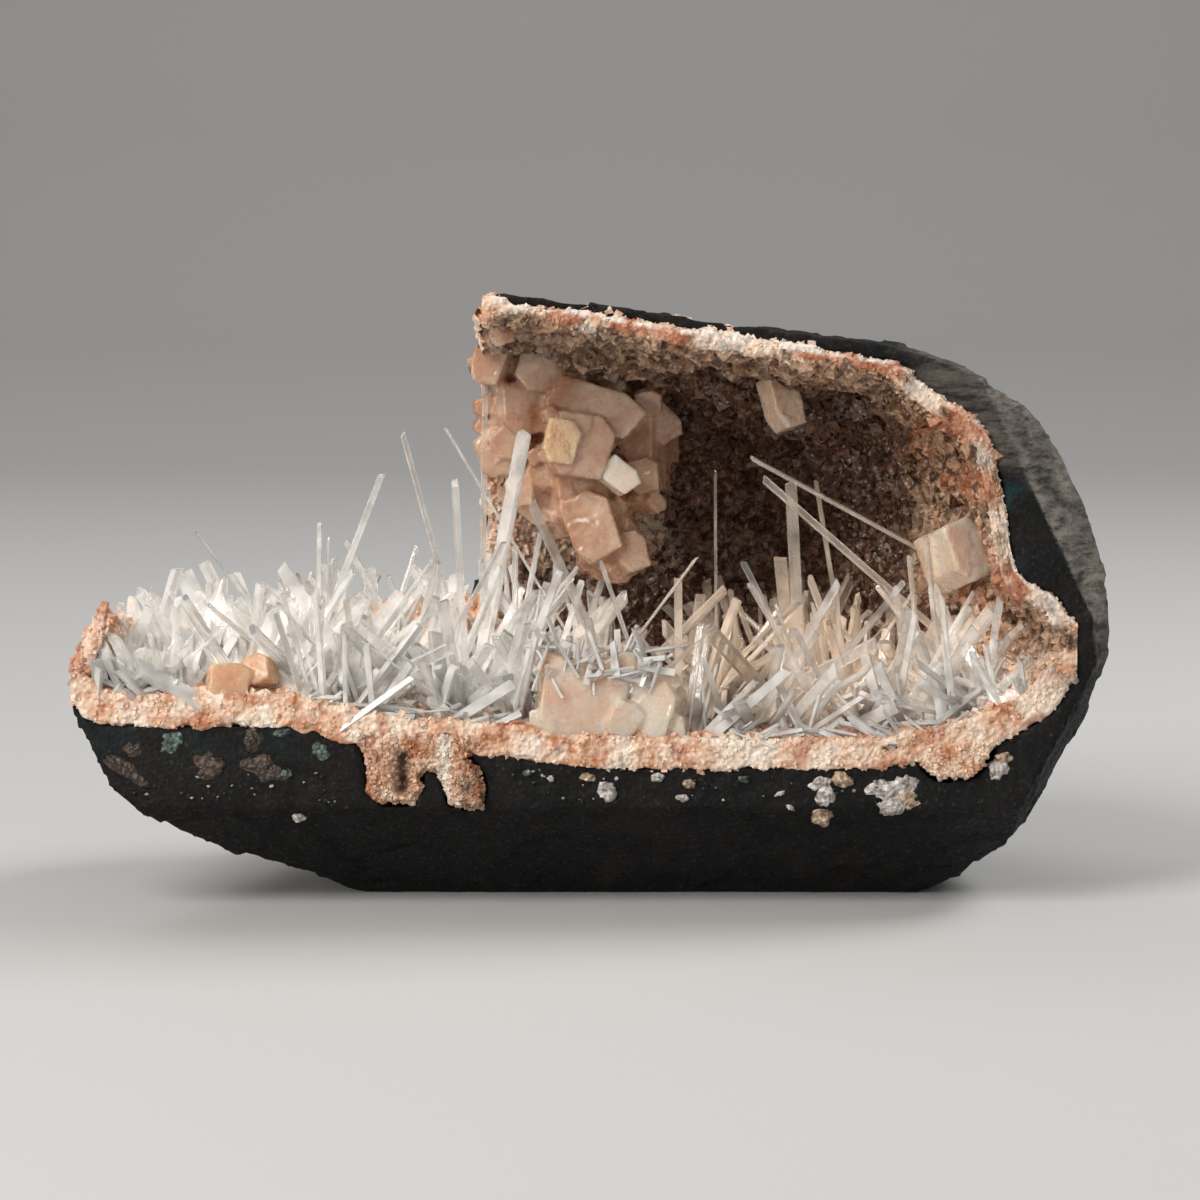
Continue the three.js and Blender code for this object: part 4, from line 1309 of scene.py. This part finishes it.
def make_blocks(name, blocks, look, wear):
    """Blocks grown into one another, with soft edges and stepped faces."""
    points, faces = join_shapes([prism(*block) for block in blocks])
    mesh = remeshed(mesh_object(name + "_raw", points, faces, smooth=False), BLOCK_GRID)
    spots, normals = vertex_data(mesh)
    push = 0.30 * facet_noise(spots, 4.6, 131) + 0.10 * facet_noise(spots, 1.7, 137)
    push += 0.10 * (layered_noise(spots, 1.8, 2, 139) - 0.5)
    moved = spots + normals * (wear * push)[:, None]
    for _ in range(PULL_STEPS):
        outside = ~in_hollow(moved, 0.6)
        moved[outside] += PULL_SHARE * (np.array(HOLLOW_MIDDLE) - moved[outside]) * (0.0, 1.0, 1.0)
    finish_piece(moved_object(name, mesh, moved), look)


# Build everything

rng = np.random.default_rng(LOOK_SEED)
make_basalt()

druse = crust_material()
tray = lining_grid(-104.4, BREAK_X + 1.0, True)
cave = lining_grid(BREAK_X - 0.8, 97.0, False)
edge = broken_edge()
lining_points, lining_faces = join_shapes([
    (tray[0], grid_faces(tray[2], tray[3])),
    (cave[0], grid_faces(cave[2], cave[3])),
    edge,
])
lining = make_crust_piece("druse_lining", lining_points, lining_faces, druse, crust_tones(lining_points))
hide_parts("crystal_crust")
make_left_pocket(rng, druse)
make_right_pocket(rng, druse)
make_grains(rng, tray, cave, druse)
make_bubbles(rng)

clear_look = clear_needle_material()
milky_look = needle_material("scolecite_milky", clearest=0.82, milkiest=0.15, roughness=0.08)
main_needles = placed_needles()
main_needles += sprays(
    Draws(NEEDLE_SEED), SPRAY_COUNT, SPRAY_NEEDLES, widest_lean=62, lengths=(20, 38),
    widths=(1.6, 3.2), at_left_lengths=(13, 23), at_left_widths=(2.4, 4.2),
)
long_needles = thicket(
    rng, clusters=100, size=(4, 7), lengths=(20, 46), widths=(1.1, 3.2), leans=(8, 62), spread=0.45,
)
high_needles = shortened(main_needles + off_blocks(long_needles))
make_needles("scolecite_needles", high_needles, rng, clear_look, casts_shadow=False)
short_needles = thicket(
    rng, clusters=210, size=(3, 6), lengths=(9, 25), widths=(1.2, 3.2), leans=(30, 85), spread=0.5,
)
low_needles = off_blocks(shortened(short_needles) + rim_needles(rng, count=150))
over_blocks = np.random.default_rng(OVERGROWTH_SEED)
low_needles += block_needles(over_blocks, count=26, low=(-11.0, -0.4, 44.5), high=(14.0, 0.9, 50.0))
low_needles += block_needles(over_blocks, count=24, low=(-12.0, 1.0, 48.5), high=(15.0, 10.0, 52.0))
make_needles("scolecite_thicket", low_needles, rng, milky_look, casts_shadow=True)

# Pieces of blocks: name, blocks, look, its darker and paler tint, transmission, pits, and wear
BLOCK_PIECES = [
    ("peach_blocks", BLOCKS + cluster_fill(rng, count=60), "peach_block",
     (0.50, 0.23, 0.115), (0.84, 0.58, 0.42), 0.42, 0.12, 1.0),
    ("lone_blocks", LONE_BLOCKS, "pale_peach", (0.86, 0.54, 0.37), (0.95, 0.80, 0.66), 0.38, 0.18, 1.1),
    ("orange_blocks", ORANGE_BLOCKS, "orange_block",
     (0.80, 0.39, 0.20), (0.91, 0.60, 0.39), 0.35, 0.12, 0.8),
    ("gold_face", [GOLD_FACE], "gold_face", (0.54, 0.33, 0.17), (0.80, 0.58, 0.38), 0.05, 0.8, 0.6),
    ("pale_tablet", [PALE_TABLET], "pale_tablet",
     (0.86, 0.64, 0.50), (0.95, 0.82, 0.70), 0.20, 0.12, 0.4),
]
for name, blocks, look, warm, pale, transmission, pits, wear in BLOCK_PIECES:
    make_blocks(name, blocks, block_material(look, warm, pale, transmission, pits), wear)


# Floor, light and camera


def make_stage():
    floor_mesh = bpy.data.meshes.new("floor")
    sweep = [(-2.5, 0.0), (0.9, 0.0), (1.15, 0.03), (1.35, 0.12), (1.5, 0.3), (1.56, 0.6), (1.56, 3.0)]
    points = [(side, y, z) for y, z in sweep for side in (-3.0, 3.0)]
    faces = [(2 * k, 2 * k + 1, 2 * k + 3, 2 * k + 2) for k in range(len(sweep) - 1)]
    floor_mesh.from_pydata(points, [], faces)
    floor_mesh.polygons.foreach_set("use_smooth", [True] * len(faces))
    floor = scene_object("floor", floor_mesh)
    material, _, shader = new_material("pale_floor")
    set_inputs(shader, {"Base Color": (0.50, 0.495, 0.49, 1.0), "Roughness": 0.7})
    floor_mesh.materials.append(material)


def area_light(name, place, aim, size, power, colour):
    data = bpy.data.lights.new(name, "AREA")
    data.shape = "DISK"
    data.size = size
    data.energy = power
    data.color = colour
    lamp = scene_object(name, data)
    lamp.location = place
    direction = Vector(aim) - Vector(place)
    lamp.rotation_euler = direction.to_track_quat("-Z", "Y").to_euler()


def make_camera():
    seen_centre = np.array([1.7, 0.0, 61.0])
    centre = Vector((seen_centre + SHIFT) * MM)
    elevation = math.radians(7.0)
    distance = 0.95
    field = 0.240
    data = bpy.data.cameras.new("camera")
    data.sensor_width = 36.0
    data.lens = 36.0 * distance / field
    data.clip_start = 0.01
    camera = scene_object("camera", data)
    camera.location = centre + Vector((0.0, -math.cos(elevation), math.sin(elevation))) * distance
    camera.rotation_euler = (math.pi / 2 - elevation, 0.0, 0.0)
    bpy.context.scene.camera = camera


make_stage()
# Lights: name, place, aim, size, power and colour
LIGHTS = [
    ("key", (-0.50, -0.70, 0.85), (0.0, 0.0, 0.06), 0.55, 8.4, (1.0, 0.97, 0.93)),
    ("side", (-0.85, -0.70, 0.30), (0.04, 0.0, 0.07), 0.25, 4.2, (1.0, 0.96, 0.91)),
    ("back", (-0.45, 0.50, 0.80), (-0.02, 0.0, 0.05), 0.60, 2.2, (1.0, 1.0, 1.0)),
    ("rim", (0.65, 0.20, 0.75), (0.05, 0.0, 0.06), 0.4, 6.0, (1.0, 1.0, 1.0)),
    ("fill", (0.5, -1.0, 0.35), (0.0, 0.0, 0.06), 0.8, 1.2, (1.0, 1.0, 1.0)),
]
for light in LIGHTS:
    area_light(*light)
world = bpy.data.worlds.new("studio")
world.use_nodes = True
set_inputs(world.node_tree.nodes["Background"], {"Color": (0.90, 0.89, 0.875, 1.0), "Strength": 0.26})
bpy.context.scene.world = world
bpy.context.scene.view_settings.view_transform = "Standard"
make_camera()
